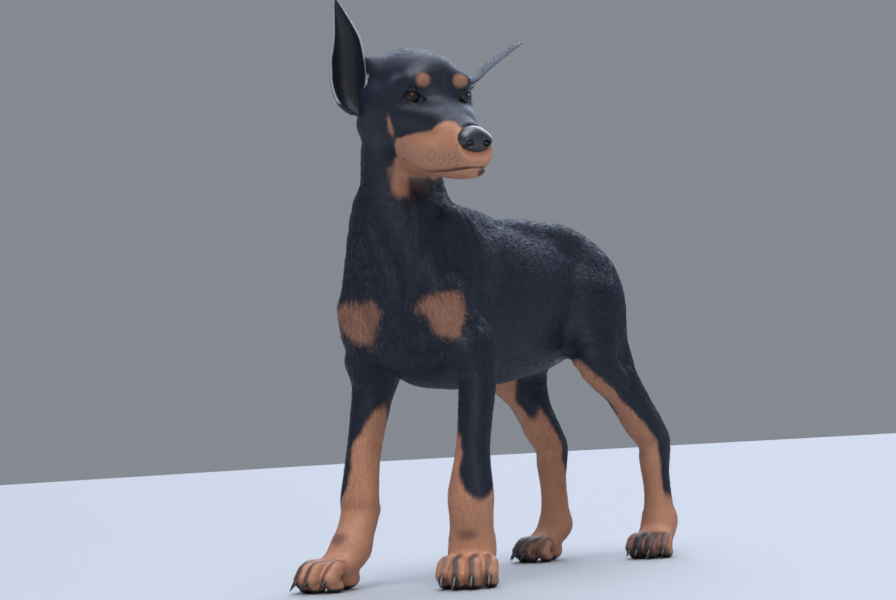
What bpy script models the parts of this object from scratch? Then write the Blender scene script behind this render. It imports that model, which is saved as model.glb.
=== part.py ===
"""A Doberman pinscher puppy about ten weeks old, standing with its head turned to its left.

Metres, +Z up. The puppy faces -Y and its left side is +X. It is built as rounded masses that
flow into one another like muscle under skin, and the whole is then parted with thin cuts.
"""

import math

import bmesh
import bpy
import numpy as np
from mathutils import Euler, Matrix, Vector

# Driving dimensions
WITHERS = 0.350  # height of the back over the shoulders
BRISKET = 0.178  # height of the breastbone between the elbows
CHEST_FRONT = 0.016  # how far the front of the chest lies behind the middle of the forefeet
RUMP_BACK = 0.320  # the same for the buttocks
CHEST_HALF = 0.055  # half the width over the ribs
ELBOW_HEIGHT = 0.188
WRIST_HEIGHT = 0.082
HOCK_HEIGHT = 0.113
PAW_TOP = 0.044  # height of the cut between leg and paw
EYE_SPACING = 0.051  # between the centres of the eyes
EYE_RADIUS = 0.0090
NAIL_LENGTH = 0.0085
FORE_SIZE = 1.04  # of a forefoot
HIND_SIZE = 0.92
CUT = 0.0003  # gap between touching nodes

# The middle of each foot on the floor: x, y, how far the toes turn out in degrees, and how far
# behind the middle the pastern comes down
FOREFEET = {"left": (0.0620, 0.0290, 30.0, 0.012), "right": (-0.0590, -0.0240, 6.0, 0.022)}
HINDFEET = {"left": (0.0580, 0.3190, 12.0, 0.018), "right": (-0.0500, 0.2690, 8.0, 0.022)}
# How far back the elbow and wrist of each foreleg lie, and the knee and hock of each hind leg
FORELEGS = {"left": (0.0520, 0.0370), "right": (0.0340, 0.0155)}
HINDLEGS = {"left": (0.2400, 0.3400), "right": (0.2230, 0.3040)}

# The head: the point between the eyes, and its turn to the left, tip down and lean, in degrees
FACE = Vector((0.0757, 0.0047, 0.4351))
HEAD_TURN = (72.9, 16.4, -3.1)

# Each ear in the head's own frame: the line through the middle of it, where its cup opens, how
# far the cup stays rolled toward the tip, the turn of its outer part about its front edge in
# degrees, and what is added to the tip's half width
EARS = {
    "left": (
        [
            (0.032, 0.052, -0.004),
            (0.050, 0.060, -0.001),
            (0.0745, 0.067, 0.0085),
            (0.100, 0.0735, 0.0240),
            (0.1446, 0.085, 0.0500),
        ],
        (0.549, -0.430, -0.715),
        0.55,
        30.0,
        0.0018,
    ),
    "right": (
        [
            (-0.034, 0.056, -0.014),
            (-0.0525, 0.062, -0.002),
            (-0.0560, 0.0655, 0.022),
            (-0.057, 0.069, 0.047),
            (-0.064, 0.080, 0.083),
        ],
        (-0.51, -0.86, 0.10),
        1.0,
        0.0,
        0.0,
    ),
}

# The part's own origin, on the floor in the middle of its box, in the puppy's coordinates
ORIGIN = Vector((0.0255, 0.1460, 0.0))


# Rounded masses


def rotation(turn):
    """Rotation for (turn to the left, nose down, lean), in degrees."""
    left, down, lean = (math.radians(angle) for angle in turn)
    return (
        Matrix.Rotation(left, 3, "Z")
        @ Matrix.Rotation(down, 3, "X")
        @ Matrix.Rotation(lean, 3, "Y")
    )


def smooth_path(stations, steps):
    """The stations with a smooth curve's points put in between, steps for each span."""
    rows = np.array(stations, float)
    padded = np.vstack([2 * rows[0] - rows[1], rows, 2 * rows[-1] - rows[-2]])
    path = []
    for i in range(len(rows) - 1):
        a, b, c, d = padded[i : i + 4]
        for t in np.arange(steps) / steps:
            path.append(
                0.5
                * (
                    2 * b
                    + (c - a) * t
                    + (2 * a - 5 * b + 4 * c - d) * t**2
                    + (3 * b - a - 3 * c + d) * t**3
                )
            )
    path.append(rows[-1])
    return np.array(path)


class Mass:
    """A rounded mass. Rings along a path, each (x, y, z, half width, half depth)."""

    def __init__(self, stations, side=(1, 0, 0), blend=0.012, steps=4, carve=False):
        self.path = smooth_path(stations, steps) if len(stations) > 1 else np.array(stations, float)
        self.side = np.array(side, float)
        self.blend = blend
        self.carve = carve

    def moved(self, matrix):
        """The mass carried by a 4x4 matrix that only turns and shifts."""
        turned = np.array(matrix.to_3x3())
        self.path[:, :3] = self.path[:, :3] @ turned.T + np.array(matrix.translation)
        self.side = turned @ self.side
        return self

    def box(self):
        reach = self.path[:, 3:5].max(axis=1)[:, None]
        centres = self.path[:, :3]
        return (centres - reach).min(axis=0), (centres + reach).max(axis=0)

    def axes(self, i):
        """Tangent, side and third axis of span i."""
        span = self.path[i + 1, :3] - self.path[i, :3]
        tangent = span / np.linalg.norm(span)
        side = self.side - tangent * (self.side @ tangent)
        side /= np.linalg.norm(side)
        return tangent, side, np.cross(tangent, side)

    def distance(self, points):
        """About how far each point lies outside the mass; negative inside."""
        nearest = np.full(len(points), 1.0)
        for i in range(len(self.path) - 1):
            start, end = self.path[i], self.path[i + 1]
            span = end[:3] - start[:3]
            tangent, side, third = self.axes(i)
            off = points - start[:3]
            t = np.clip(off @ span / (span @ span), 0, 1)
            off = off - t[:, None] * span
            width = start[3] + t * (end[3] - start[3])
            depth = start[4] + t * (end[4] - start[4])
            ring = np.sqrt(
                (off @ side / width) ** 2
                + (off @ third / depth) ** 2
                + (off @ tangent / np.minimum(width, depth)) ** 2
            )
            ring = np.maximum(ring, 1e-4)
            nearest = np.minimum(nearest, (ring - 1) * np.linalg.norm(off, axis=1) / ring)
        return nearest

    def build(self, bm, around=20):
        """Adds the mass to bm as a closed loft with rounded ends."""
        first, last = self.path[0], self.path[-1]
        rings = []
        for angle in (80, 50, 25):
            a = math.radians(angle)
            rings.append((first, 0, -math.sin(a), math.cos(a)))
        for i in range(len(self.path)):
            rings.append((self.path[i], min(i, len(self.path) - 2), 0.0, 1.0))
        for angle in (25, 50, 80):
            a = math.radians(angle)
            rings.append((last, len(self.path) - 2, math.sin(a), math.cos(a)))
        loops = []
        for (x, y, z, width, depth), i, along, size in rings:
            tangent, side, third = self.axes(i)
            centre = np.array((x, y, z)) + tangent * along * min(width, depth)
            loops.append(
                [
                    bm.verts.new(centre + size * (side * width * math.cos(a) + third * depth * math.sin(a)))
                    for a in np.arange(around) * math.tau / around
                ]
            )
        for low, high in zip(loops, loops[1:]):
            for j in range(around):
                k = (j + 1) % around
                bm.faces.new((low[j], low[k], high[k], high[j]))
        bm.faces.new(loops[0][::-1])
        bm.faces.new(loops[-1])


class Oval(Mass):
    """A mass that is one ellipsoid, with its half sizes along x, y and z before it is turned."""

    def __init__(self, centre, half, turn=(0, 0, 0), blend=0.012, carve=False):
        self.centre = np.array(centre, float)
        self.half = np.array(half, float)
        self.turn = np.array(rotation(turn))
        self.blend = blend
        self.carve = carve

    def moved(self, matrix):
        turned = np.array(matrix.to_3x3())
        self.centre = turned @ self.centre + np.array(matrix.translation)
        self.turn = turned @ self.turn
        return self

    def box(self):
        reach = np.abs(self.turn) @ self.half
        return self.centre - reach, self.centre + reach

    def distance(self, points):
        off = points - self.centre
        ring = np.linalg.norm(off @ self.turn / self.half, axis=1)
        ring = np.maximum(ring, 1e-4)
        return (ring - 1) * np.linalg.norm(off, axis=1) / ring

    def build(self, bm):
        place = Matrix.Translation(self.centre) @ Matrix(self.turn).to_4x4()
        size = Matrix.Diagonal((*self.half, 1))
        bmesh.ops.create_uvsphere(bm, u_segments=20, v_segments=12, radius=1, matrix=place @ size)


def both(make):
    """The masses that make(side) gives for the left, side 1, and for the right, side -1."""
    return make(1) + make(-1)


# The puppy's masses, region by region


def trunk():
    middle = (WITHERS + BRISKET) / 2
    masses = [
        Mass(
            [
                (0, CHEST_FRONT + 0.012, 0.250, 0.034, 0.036),
                (0, 0.044, 0.259, 0.043, 0.068),
                (0, 0.070, middle - 0.002, 0.049, 0.083),
                (0, 0.105, middle, 0.053, middle - BRISKET),
                (0, 0.150, 0.264, CHEST_HALF, 0.082),
                (0, 0.200, 0.267, 0.051, 0.076),
                (0, 0.240, 0.274, 0.045, 0.069),
                (0, 0.270, 0.278, 0.041, 0.058),
                (0, 0.294, 0.280, 0.034, 0.040),
            ],
            blend=0.010,
        ),
        Oval((0, 0.046, 0.214), (0.030, 0.034, 0.028), blend=0.022),
    ]

    def side_of(s):
        return [
            Oval((0.024 * s, 0.026, 0.238), (0.024, 0.018, 0.036), blend=0.014),
            Oval((0.012 * s, 0.100, 0.336), (0.013, 0.036, 0.013), blend=0.020),
            Oval((0.014 * s, 0.195, 0.336), (0.011, 0.060, 0.009), blend=0.020),
            Oval((0.018 * s, 0.246, 0.326), (0.016, 0.028, 0.017), blend=0.020),
            Oval((0.020 * s, 0.278, 0.310), (0.018, 0.024, 0.020), blend=0.020),
            Oval((0.024 * s, 0.293, 0.286), (0.018, 0.017, 0.024), blend=0.016),
        ]

    return masses + both(side_of)


def neck():
    return [
        Mass(
            [
                (0, 0.058, 0.285, 0.050, 0.066),
                (0, 0.036, 0.325, 0.046, 0.056),
                (0.001, 0.033, 0.366, 0.036, 0.043),
                (0.012, 0.019, 0.402, 0.031, 0.037),
                (0.026, 0.014, 0.424, 0.031, 0.036),
            ],
            blend=0.022,
        ),
        Mass(
            [
                (0.010, -0.004, 0.392, 0.012, 0.013),
                (0.002, -0.002, 0.340, 0.015, 0.014),
                (0.000, 0.012, 0.275, 0.016, 0.014),
            ],
            blend=0.018,
        ),
    ]


def foreleg(s):
    """The leg of side s, from the shoulder blade to above the foot."""
    side = "left" if s > 0 else "right"
    elbow_y, wrist_y = FORELEGS[side]
    reach = elbow_y - FORELEGS["left"][0]  # a leg that is set forward draws its shoulder forward
    ankle = foot_frame(FOREFEET[side]) @ Vector((0, FOREFEET[side][3], 0.036))
    turn = math.radians(0.8 * FOREFEET[side][2]) * s
    return [
        Oval((0.036 * s, 0.072 + reach, 0.290), (0.018, 0.032, 0.056), (0, 20, 8 * s), blend=0.018),
        Oval((0.046 * s, 0.036 + reach, 0.244), (0.020, 0.024, 0.034), (0, -10, 0), blend=0.016),
        Mass(
            [
                (0.014 * s, 0.024 + reach, 0.345, 0.012, 0.013),
                (0.029 * s, 0.020 + reach, 0.300, 0.013, 0.014),
                (0.043 * s, 0.026 + reach, 0.262, 0.014, 0.016),
            ],
            blend=0.018,
        ),
        Oval((0.053 * s, 0.060 + reach, 0.212), (0.018, 0.027, 0.034), (0, 12, 0), blend=0.016),
        Mass(
            [
                (0.055 * s, 0.050 + reach, 0.212, 0.0180, 0.026),
                (0.058 * s, elbow_y + 0.005, ELBOW_HEIGHT, 0.0175, 0.0230),
                (0.0600 * s, elbow_y - 0.003, 0.150, 0.0158, 0.0192),
                (0.0603 * s, (elbow_y + wrist_y) / 2 - 0.002, 0.118, 0.0160, 0.0175),
                (0.0600 * s, wrist_y, WRIST_HEIGHT, 0.0218, 0.0165),
                (0.0600 * s, wrist_y - 0.001, 0.066, 0.0212, 0.0165),
                (*ankle, 0.0195, 0.0165),
            ],
            side=(math.cos(turn), math.sin(turn), 0),
            blend=0.012,
        ),
        Oval((0.058 * s, wrist_y + 0.015, WRIST_HEIGHT - 0.012), (0.007, 0.007, 0.008), blend=0.010),
    ]


def hindleg(s):
    side = "left" if s > 0 else "right"
    knee_y, hock_y = HINDLEGS[side]
    step = hock_y - HINDLEGS["left"][1]  # how far the leg is set forward of the left one
    hip = RUMP_BACK - 0.054 + 0.1 * step
    knee = Vector((0.054 * s, knee_y, 0.196))
    hock = Vector((0.054 * s, hock_y, HOCK_HEIGHT))
    ankle = foot_frame(HINDFEET[side]) @ Vector((0, HINDFEET[side][3], 0.036))
    return [
        Oval((0.036 * s, hip, 0.258), (0.024, 0.042, 0.056), (0, -18, 0), blend=0.020),
        Mass(
            [
                (0.037 * s, hip + 0.014, 0.272, 0.018, 0.022),
                (0.040 * s, hip + 0.018 + 0.2 * step, 0.240, 0.018, 0.022),
                (0.046 * s, hip + 0.024 + 0.5 * step, 0.208, 0.015, 0.019),
                (0.050 * s, knee_y + 0.062 + 0.3 * step, 0.176, 0.012, 0.014),
                (*knee.lerp(hock, 0.70), 0.010, 0.012),
            ],
            blend=0.016,
        ),
        Mass(
            [
                (0.040 * s, hip - 0.004, 0.265, 0.024, 0.038),
                (0.047 * s, hip - 0.014, 0.230, 0.023, 0.036),
                (*(knee + Vector((0, 0.008, 0.003))), 0.0190, 0.0235),
                (*(knee.lerp(hock, 0.45) + Vector((0, 0.007, 0.004))), 0.0150, 0.0150),
                (*(knee.lerp(hock, 0.80) + Vector((0, 0.003, 0.001))), 0.0135, 0.0145),
            ],
            blend=0.016,
        ),
        Mass(
            [
                (*(knee.lerp(hock, 0.45) + Vector((0, 0.007, 0.004))), 0.0145, 0.0145),
                (*(hock + Vector((0, -0.008, 0.010))), 0.0145, 0.0180),
                (*(hock + Vector((0, -0.006, -0.014))), 0.0145, 0.0180),
                ((hock.x + ankle.x) / 2, (hock.y - 0.004 + ankle.y) / 2, 0.070, 0.0140, 0.0155),
                (*ankle, 0.0170, 0.0160),
            ],
            blend=0.010,
        ),
        Mass(
            [
                (*(knee.lerp(hock, 0.30) + Vector((0, 0.022, 0.012))), 0.012, 0.012),
                (*(hock + Vector((0, 0.004, 0.026))), 0.0065, 0.0065),
                (*(hock + Vector((0, 0.012, 0.006))), 0.0085, 0.0085),
                (*(hock + Vector((0, 0.006, -0.014))), 0.0090, 0.0080),
            ],
            blend=0.008,
        ),
    ]


def foot_frame(foot):
    """Places a foot that was made facing -Y at its spot, toes turned out."""
    x, y, out, _ = foot
    return Matrix.Translation((x, y, 0)) @ Matrix.Rotation(math.radians(math.copysign(out, x)), 4, "Z")


TOES = ((-0.0185, -0.0150), (-0.0066, -0.0250), (0.0066, -0.0250), (0.0185, -0.0150))  # side, reach


def foot(place, size):
    """A foot's toes and pads, made facing -Y about its middle."""
    ankle = place[3]
    masses = [
        Mass(
            [
                (0, ankle, 0.038, 0.0195 * size, 0.0160 * size),
                (0, 0.5 * ankle + 0.001, 0.026, 0.0215 * size, 0.0150 * size),
                (0, -0.004, 0.017, 0.0205 * size, 0.0120 * size),
            ],
            blend=0.008,
        ),
        Oval((0, 0.011 * size, 0.0095), (0.0165 * size, 0.0145 * size, 0.0105), blend=0.007),
    ]
    for across, reach in TOES:
        across *= size
        reach *= size
        masses += [
            Mass(
                [
                    (across * 0.72, 0.000, 0.0190 * size + 0.001, 0.0080 * size, 0.0080 * size),
                    (across, reach + 0.004, 0.0190 * size + 0.001, 0.0080 * size, 0.0080 * size),
                    (across * 1.06, reach - 0.004, 0.0110 * size + 0.001, 0.0080 * size, 0.0080 * size),
                ],
                blend=0.0030,
            ),
            Oval((across * 1.04, reach + 0.002, 0.0060), (0.0072 * size, 0.0090 * size, 0.0075), blend=0.003),
        ]
    return [mass.moved(foot_frame(place)) for mass in masses]


def tail():
    """The docked tail, held down against the rump."""
    return [
        Mass(
            [
                (0, RUMP_BACK - 0.030, 0.306, 0.0125, 0.0110),
                (0, RUMP_BACK - 0.004, 0.306, 0.0105, 0.0095),
                (0, RUMP_BACK + 0.014, 0.298, 0.0085, 0.0080),
                (0, RUMP_BACK + 0.021, 0.287, 0.0070, 0.0065),
            ],
            blend=0.008,
        )
    ]


def head_frame():
    return Matrix.Translation(FACE) @ rotation(HEAD_TURN).to_4x4()


def head():
    """The head's masses, made facing -Y about the point between the eyes."""
    eye = EYE_SPACING / 2
    masses = [
        Oval((0, 0.044, 0.0045), (0.041, 0.050, 0.0385), blend=0.014),
        Oval((0, 0.014, 0.0125), (0.028, 0.021, 0.023), blend=0.014),
        Oval((0, 0.080, 0.004), (0.024, 0.020, 0.022), blend=0.016),
        Mass(
            [
                (0, 0.012, -0.013, 0.034, 0.022),
                (0, -0.014, -0.024, 0.0260, 0.0225),
                (0, -0.034, -0.031, 0.0220, 0.0195),
                (0, -0.054, -0.0345, 0.0195, 0.0173),
                (0, -0.066, -0.0375, 0.0170, 0.0140),
            ],
            blend=0.012,
        ),
        Mass(
            [
                (0, 0.052, -0.047, 0.030, 0.023),
                (0, 0.020, -0.054, 0.027, 0.018),
                (0, -0.020, -0.0570, 0.0215, 0.0130),
                (0, -0.045, -0.0580, 0.0170, 0.0115),
                (0, -0.0665, -0.0570, 0.0130, 0.0092),
            ],
            blend=0.008,
        ),
    ]

    def side_of(s):
        return [
            Oval((0.031 * s, 0.034, -0.026), (0.017, 0.030, 0.027), (8 * s, 0, 0), blend=0.014),
            Mass(
                [
                    (0.014 * s, -0.026, -0.020, 0.010, 0.011),
                    (0.028 * s, -0.001, -0.0165, 0.0105, 0.0105),
                    (0.038 * s, 0.022, -0.010, 0.009, 0.011),
                    (0.040 * s, 0.045, -0.004, 0.008, 0.012),
                ],
                blend=0.010,
            ),
            Oval((0.023 * s, 0.001, 0.0155), (0.013, 0.011, 0.0085), (0, 0, 18 * s), blend=0.008),
            Oval((0.0345 * s, 0.015, 0.003), (0.007, 0.011, 0.010), blend=0.012),
            Mass(
                [
                    (0.0075 * s, -0.0695, -0.0440, 0.0090, 0.0115),
                    (0.0145 * s, -0.047, -0.0460, 0.0100, 0.0145),
                    (0.0195 * s, -0.022, -0.0470, 0.0115, 0.0170),
                    (0.0230 * s, 0.006, -0.0400, 0.0130, 0.0190),
                ],
                blend=0.006,
            ),
            Mass(
                [
                    (0.030 * s, 0.052, 0.016, 0.010, 0.012),
                    (0.033 * s, 0.056, 0.004, 0.011, 0.014),
                    (0.034 * s, 0.058, -0.014, 0.012, 0.013),
                    (0.036 * s, 0.059, -0.028, 0.012, 0.012),
                ],
                blend=0.012,
            ),
            Oval((eye * s, 0.0022, 0), (0.0108, 0.0104, 0.0106), blend=0.005),
            Mass(
                [
                    (0.0010 * s, -0.0810, -0.0545, 0.0050, 0.0012),
                    (0.0120 * s, -0.0740, -0.0560, 0.0050, 0.0012),
                    (0.0190 * s, -0.0500, -0.0608, 0.0050, 0.0012),
                    (0.0250 * s, -0.0250, -0.0645, 0.0050, 0.0012),
                    (0.0290 * s, -0.0080, -0.0615, 0.0045, 0.0012),
                    (0.0310 * s, 0.0020, -0.0545, 0.0035, 0.0010),
                ],
                blend=0.0015,
                carve=True,
            ),
        ]

    web = Mass([(-0.024, 0.058, 0.020, 0.010, 0.011), (-0.040, 0.062, 0.027, 0.006, 0.008)], blend=0.010)
    return [mass.moved(head_frame()) for mass in masses + both(side_of) + [web]]


def nose():
    def side_of(s):
        slit = [(0.0085, -0.0772, -0.0368), (0.0125, -0.0740, -0.0382), (0.0152, -0.0690, -0.0362)]
        return [
            Oval((0.0092 * s, -0.0680, -0.0335), (0.0076, 0.0085, 0.0078), blend=0.003),
            Oval(
                (0.0080 * s, -0.0770, -0.0352),
                (0.0038, 0.0062, 0.0029),
                (-20 * s, 0, 14 * s),
                blend=0.0012,
                carve=True,
            ),
            Mass(
                [(x * s, y, z, 0.0009, 0.0030) for x, y, z in slit],
                side=(0, 0, 1),
                blend=0.0010,
                carve=True,
            ),
        ]

    masses = [
        Oval((0, -0.0665, -0.0340), (0.0150, 0.0100, 0.0118), blend=0.004),
        Oval((0, -0.0635, -0.0290), (0.0120, 0.0095, 0.0080), blend=0.004),
    ] + both(side_of)
    masses.append(Oval((0, -0.0775, -0.0430), (0.0007, 0.0050, 0.0060), blend=0.0008, carve=True))
    return [mass.moved(head_frame()) for mass in masses]


# From masses to one smooth solid


def skin_distance(points, masses):
    """About how far each point lies outside the masses run together."""
    result = np.full(len(points), 0.05)
    for mass in masses:
        low, high = mass.box()
        reach = mass.blend + 0.008
        near = np.flatnonzero(((points > low - reach) & (points < high + reach)).all(axis=1))
        if not len(near):
            continue
        there = mass.distance(points[near])
        here = result[near]
        if mass.carve:
            mix = np.maximum(mass.blend - np.abs(here + there), 0) / mass.blend
            result[near] = np.maximum(here, -there) + mix**2 * mass.blend / 4
        else:
            mix = np.maximum(mass.blend - np.abs(here - there), 0) / mass.blend
            result[near] = np.minimum(here, there) - mix**2 * mass.blend / 4
    return result


def settle(mesh, masses, rounds=4):
    """Moves the mesh's points along its normals onto the skin that runs over the masses."""
    for _ in range(rounds):
        points = np.empty(len(mesh.vertices) * 3)
        mesh.vertices.foreach_get("co", points)
        points = points.reshape(-1, 3)
        normals = np.empty(len(mesh.vertices) * 3, np.float32)
        mesh.vertex_normals.foreach_get("vector", normals)
        move = np.clip(skin_distance(points, masses), -0.004, 0.004)
        points -= 0.9 * move[:, None] * normals.reshape(-1, 3)
        mesh.vertices.foreach_set("co", points.ravel())
        mesh.update()


def apply_modifiers(obj):
    graph = bpy.context.evaluated_depsgraph_get()
    mesh = bpy.data.meshes.new_from_object(obj.evaluated_get(graph))
    obj.modifiers.clear()
    obj.data = mesh


def remesh(obj, voxel):
    """Replaces the object's mesh by one even closed mesh over all it holds."""
    modifier = obj.modifiers.new("Remesh", "REMESH")
    modifier.mode = "VOXEL"
    modifier.voxel_size = voxel
    apply_modifiers(obj)


def thin(obj, triangles):
    obj.data.calc_loop_triangles()
    modifier = obj.modifiers.new("Decimate", "DECIMATE")
    modifier.ratio = triangles / len(obj.data.loop_triangles)
    modifier.use_collapse_triangulate = True
    apply_modifiers(obj)


def face_outwards(bm):
    bmesh.ops.recalc_face_normals(bm, faces=bm.faces)
    if bm.calc_volume(signed=True) < 0:
        bmesh.ops.reverse_faces(bm, faces=bm.faces)


def new_object(name, bm):
    face_outwards(bm)
    mesh = bpy.data.meshes.new(name)
    bm.to_mesh(mesh)
    bm.free()
    obj = bpy.data.objects.new(name, mesh)
    bpy.context.scene.collection.objects.link(obj)
    return obj


def flesh(name, masses, shape, voxel, triangles):
    """One smooth closed solid over some of the masses, shaped by all those in shape."""
    bm = bmesh.new()
    for mass in masses:
        if not mass.carve:
            mass.build(bm)
    obj = new_object(name, bm)
    for _ in range(2):
        remesh(obj, voxel)
        settle(obj.data, shape)
    thin(obj, triangles)
    return obj


# Lofts: ears and nails


def loft(bm, rings):
    """A closed skin over rings of the same number of points."""
    loops = [[bm.verts.new(point) for point in ring] for ring in rings]
    count = len(loops[0])
    for low, high in zip(loops, loops[1:]):
        for j in range(count):
            k = (j + 1) % count
            bm.faces.new((low[j], low[k], high[k]))
            bm.faces.new((low[j], high[k], high[j]))
    bm.faces.new(loops[0][::-1])
    bm.faces.new(loops[-1])


# Along an ear: share of its length, half width, half of the cup's arc in degrees, thickness,
# and how hollow the cup is, from -0.6 for a solid root to 1 for an even sheet
EAR_RINGS = (
    (0.00, 0.0125, 84, 0.0040, -0.60),
    (0.10, 0.0145, 86, 0.0040, 0.20),
    (0.20, 0.0165, 90, 0.0034, 0.90),
    (0.34, 0.0175, 86, 0.0028, 1.00),
    (0.50, 0.0165, 76, 0.0024, 1.00),
    (0.65, 0.0132, 68, 0.0021, 1.00),
    (0.80, 0.0083, 60, 0.0018, 1.00),
    (0.93, 0.0040, 50, 0.0015, 1.00),
    (1.00, 0.0012, 46, 0.0010, 1.00),
)


def ear_line(line):
    """The point at a share of the line's length and the direction there, as a function of share."""
    path = smooth_path(line, 12)
    run = np.insert(np.cumsum(np.linalg.norm(np.diff(path, axis=0), axis=1)), 0, 0)

    def point(share):
        return Vector([np.interp(share * run[-1], run, path[:, axis]) for axis in range(3)])

    def at(share):
        before = min(share, 0.98)
        return point(share), (point(before + 0.02) - point(before)).normalized()

    return at


def ear(side):
    """An upright cup of skin, rolled round its own length, narrow at its cropped tip."""
    line, opening, curl, twist, blunt = EARS[side]
    at = ear_line(line)
    rings = []
    for share, half, arc, thick, hollow in EAR_RINGS:
        centre, along = at(share)
        forward = Vector(opening)
        forward = (forward - along * forward.dot(along)).normalized()
        across = along.cross(forward)
        half += blunt * np.interp(share, (0.75, 0.93), (0, 1))
        turn = Matrix.Rotation(math.radians(np.interp(share, (0.45, 0.9), (0, twist))), 3, along)
        centre += (turn @ across - across) * half
        forward, across = turn @ forward, turn @ across
        arc = math.radians(arc * np.interp(share, (0.15, 0.45), (1, curl)))
        radius = half / math.sin(arc)
        inner = radius - thick
        centre += forward * (radius * (0.27 + 0.73 * math.cos(arc)))
        ring = [
            centre + across * (radius * math.sin(angle)) - forward * (radius * math.cos(angle))
            for angle in np.linspace(-arc, arc, 9)
        ]
        ring += [
            centre + across * (inner * math.sin(angle)) - forward * (inner * math.cos(angle) * hollow)
            for angle in np.linspace(arc, -arc, 9)
        ]
        rings.append([head_frame() @ point for point in ring])
    bm = bmesh.new()
    loft(bm, rings)
    return new_object("ear_" + side, bm)


def nail(name, place, size, toe):
    """A nail that grows out of the toe's tip and curves down to just above the floor."""
    across, reach = (value * size for value in TOES[toe])
    rings = []
    for share in (-0.35, 0.05, 0.40, 0.75, 1.0):
        along = share * NAIL_LENGTH * size
        radius = 0.0034 * size * math.sqrt(max(0.04, 1 - max(share, 0)))
        droop = 0.0040 * max(share, 0) ** 2 * size
        y = reach - 0.0085 * size - along
        z = 0.0115 * size - 0.45 * along - droop
        ring = []
        for a in np.arange(6) * math.tau / 6:
            sideways = across * 1.10 + 0.8 * radius * math.cos(a)
            ring.append(Vector((sideways, y + 0.35 * radius * math.sin(a), z + radius * math.sin(a))))
        rings.append([foot_frame(place) @ point for point in ring])
    bm = bmesh.new()
    loft(bm, rings)
    return new_object(name, bm)


# Parting the solids


def largest_surface(obj):
    """Keeps only the object's largest connected surface."""
    bm = bmesh.new()
    bm.from_mesh(obj.data)
    left = set(bm.faces)
    shells = []
    while left:
        shell = set()
        edge_of_search = [left.pop()]
        while edge_of_search:
            face = edge_of_search.pop()
            shell.add(face)
            for edge in face.edges:
                for other in edge.link_faces:
                    if other in left:
                        left.remove(other)
                        edge_of_search.append(other)
        shells.append(shell)
    shells.sort(key=lambda shell: sum(face.calc_area() for face in shell))
    for shell in shells[:-1]:
        bmesh.ops.delete(bm, geom=list(shell), context="FACES")
    bmesh.ops.delete(bm, geom=[vert for vert in bm.verts if not vert.link_faces], context="VERTS")
    bm.to_mesh(obj.data)
    bm.free()


def slice_off(obj, point, normal, shift=0.0):
    """Cuts away what lies in front of the plane, moved forward by shift, and closes the cut flat."""
    normal = Vector(normal).normalized()
    bm = bmesh.new()
    bm.from_mesh(obj.data)
    bmesh.ops.bisect_plane(
        bm,
        geom=[*bm.verts, *bm.edges, *bm.faces],
        dist=1e-5,
        plane_co=Vector(point) + normal * shift,
        plane_no=normal,
        clear_outer=True,
    )
    rim = [edge for edge in bm.edges if edge.is_boundary]
    bmesh.ops.triangle_fill(bm, use_beauty=True, edges=rim, normal=normal)
    face_outwards(bm)
    bm.to_mesh(obj.data)
    bm.free()
    largest_surface(obj)


def carve(obj, cutter):
    """Subtracts the cutter and removes it."""
    modifier = obj.modifiers.new("Carve", "BOOLEAN")
    modifier.operation = "DIFFERENCE"
    modifier.object = cutter
    apply_modifiers(obj)
    bpy.data.objects.remove(cutter)
    largest_surface(obj)


def fattened(obj):
    """A copy of the object whose surface stands CUT further out."""
    twin = copy_of(obj, "cutter")
    bm = bmesh.new()
    bm.from_mesh(twin.data)
    bm.normal_update()
    moves = [vert.normal * CUT * min(vert.calc_shell_factor(), 2.0) for vert in bm.verts]
    for vert, move in zip(bm.verts, moves):
        vert.co += move
    bm.to_mesh(twin.data)
    bm.free()
    return twin


def copy_of(obj, name):
    twin = obj.copy()
    twin.data = obj.data.copy()
    twin.name = name
    bpy.context.scene.collection.objects.link(twin)
    return twin


def block(planes):
    """The part of a large cube that lies behind all the planes, each moved forward by CUT."""
    bm = bmesh.new()
    bmesh.ops.create_cube(bm, size=1.0)
    obj = new_object("block", bm)
    for point, normal in planes:
        slice_off(obj, point, normal, CUT)
    return obj


def foreleg_planes(s):
    return [
        ((0.036 * s, 0, 0.180), (-0.983 * s, 0, 0.180)),
        ((0, 0.040, 0.248), (0, -0.45, 0.89)),
        ((0, 0.100, 0.200), (0, 0.97, 0.25)),
    ]


def hindleg_planes(s):
    return [
        ((0.030 * s, 0.200, 0), (-0.993 * s, -0.118, 0)),
        ((0, 0.195, 0.224), (0, -0.487, 0.873)),
        ((0, 0.188, 0.200), (0, -0.90, -0.43)),
    ]


NECK_BASE = ((0, 0.098, 0.350), (0, -0.585, 0.811))
NAPE = ((0, 0.040, -0.080), (0, -0.420, 0.907))  # in the head's frame
NOSE_BACK = ((0, -0.0590, -0.0180), (0, -0.885, 0.466))  # in the head's frame


def in_head(plane):
    point, normal = plane
    frame = head_frame()
    return frame @ Vector(point), frame.to_3x3() @ Vector(normal)


def back_of(plane):
    """The same plane seen from the other side, CUT away."""
    point, normal = plane
    normal = -Vector(normal).normalized()
    return Vector(point) + normal * -CUT, normal


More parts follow.
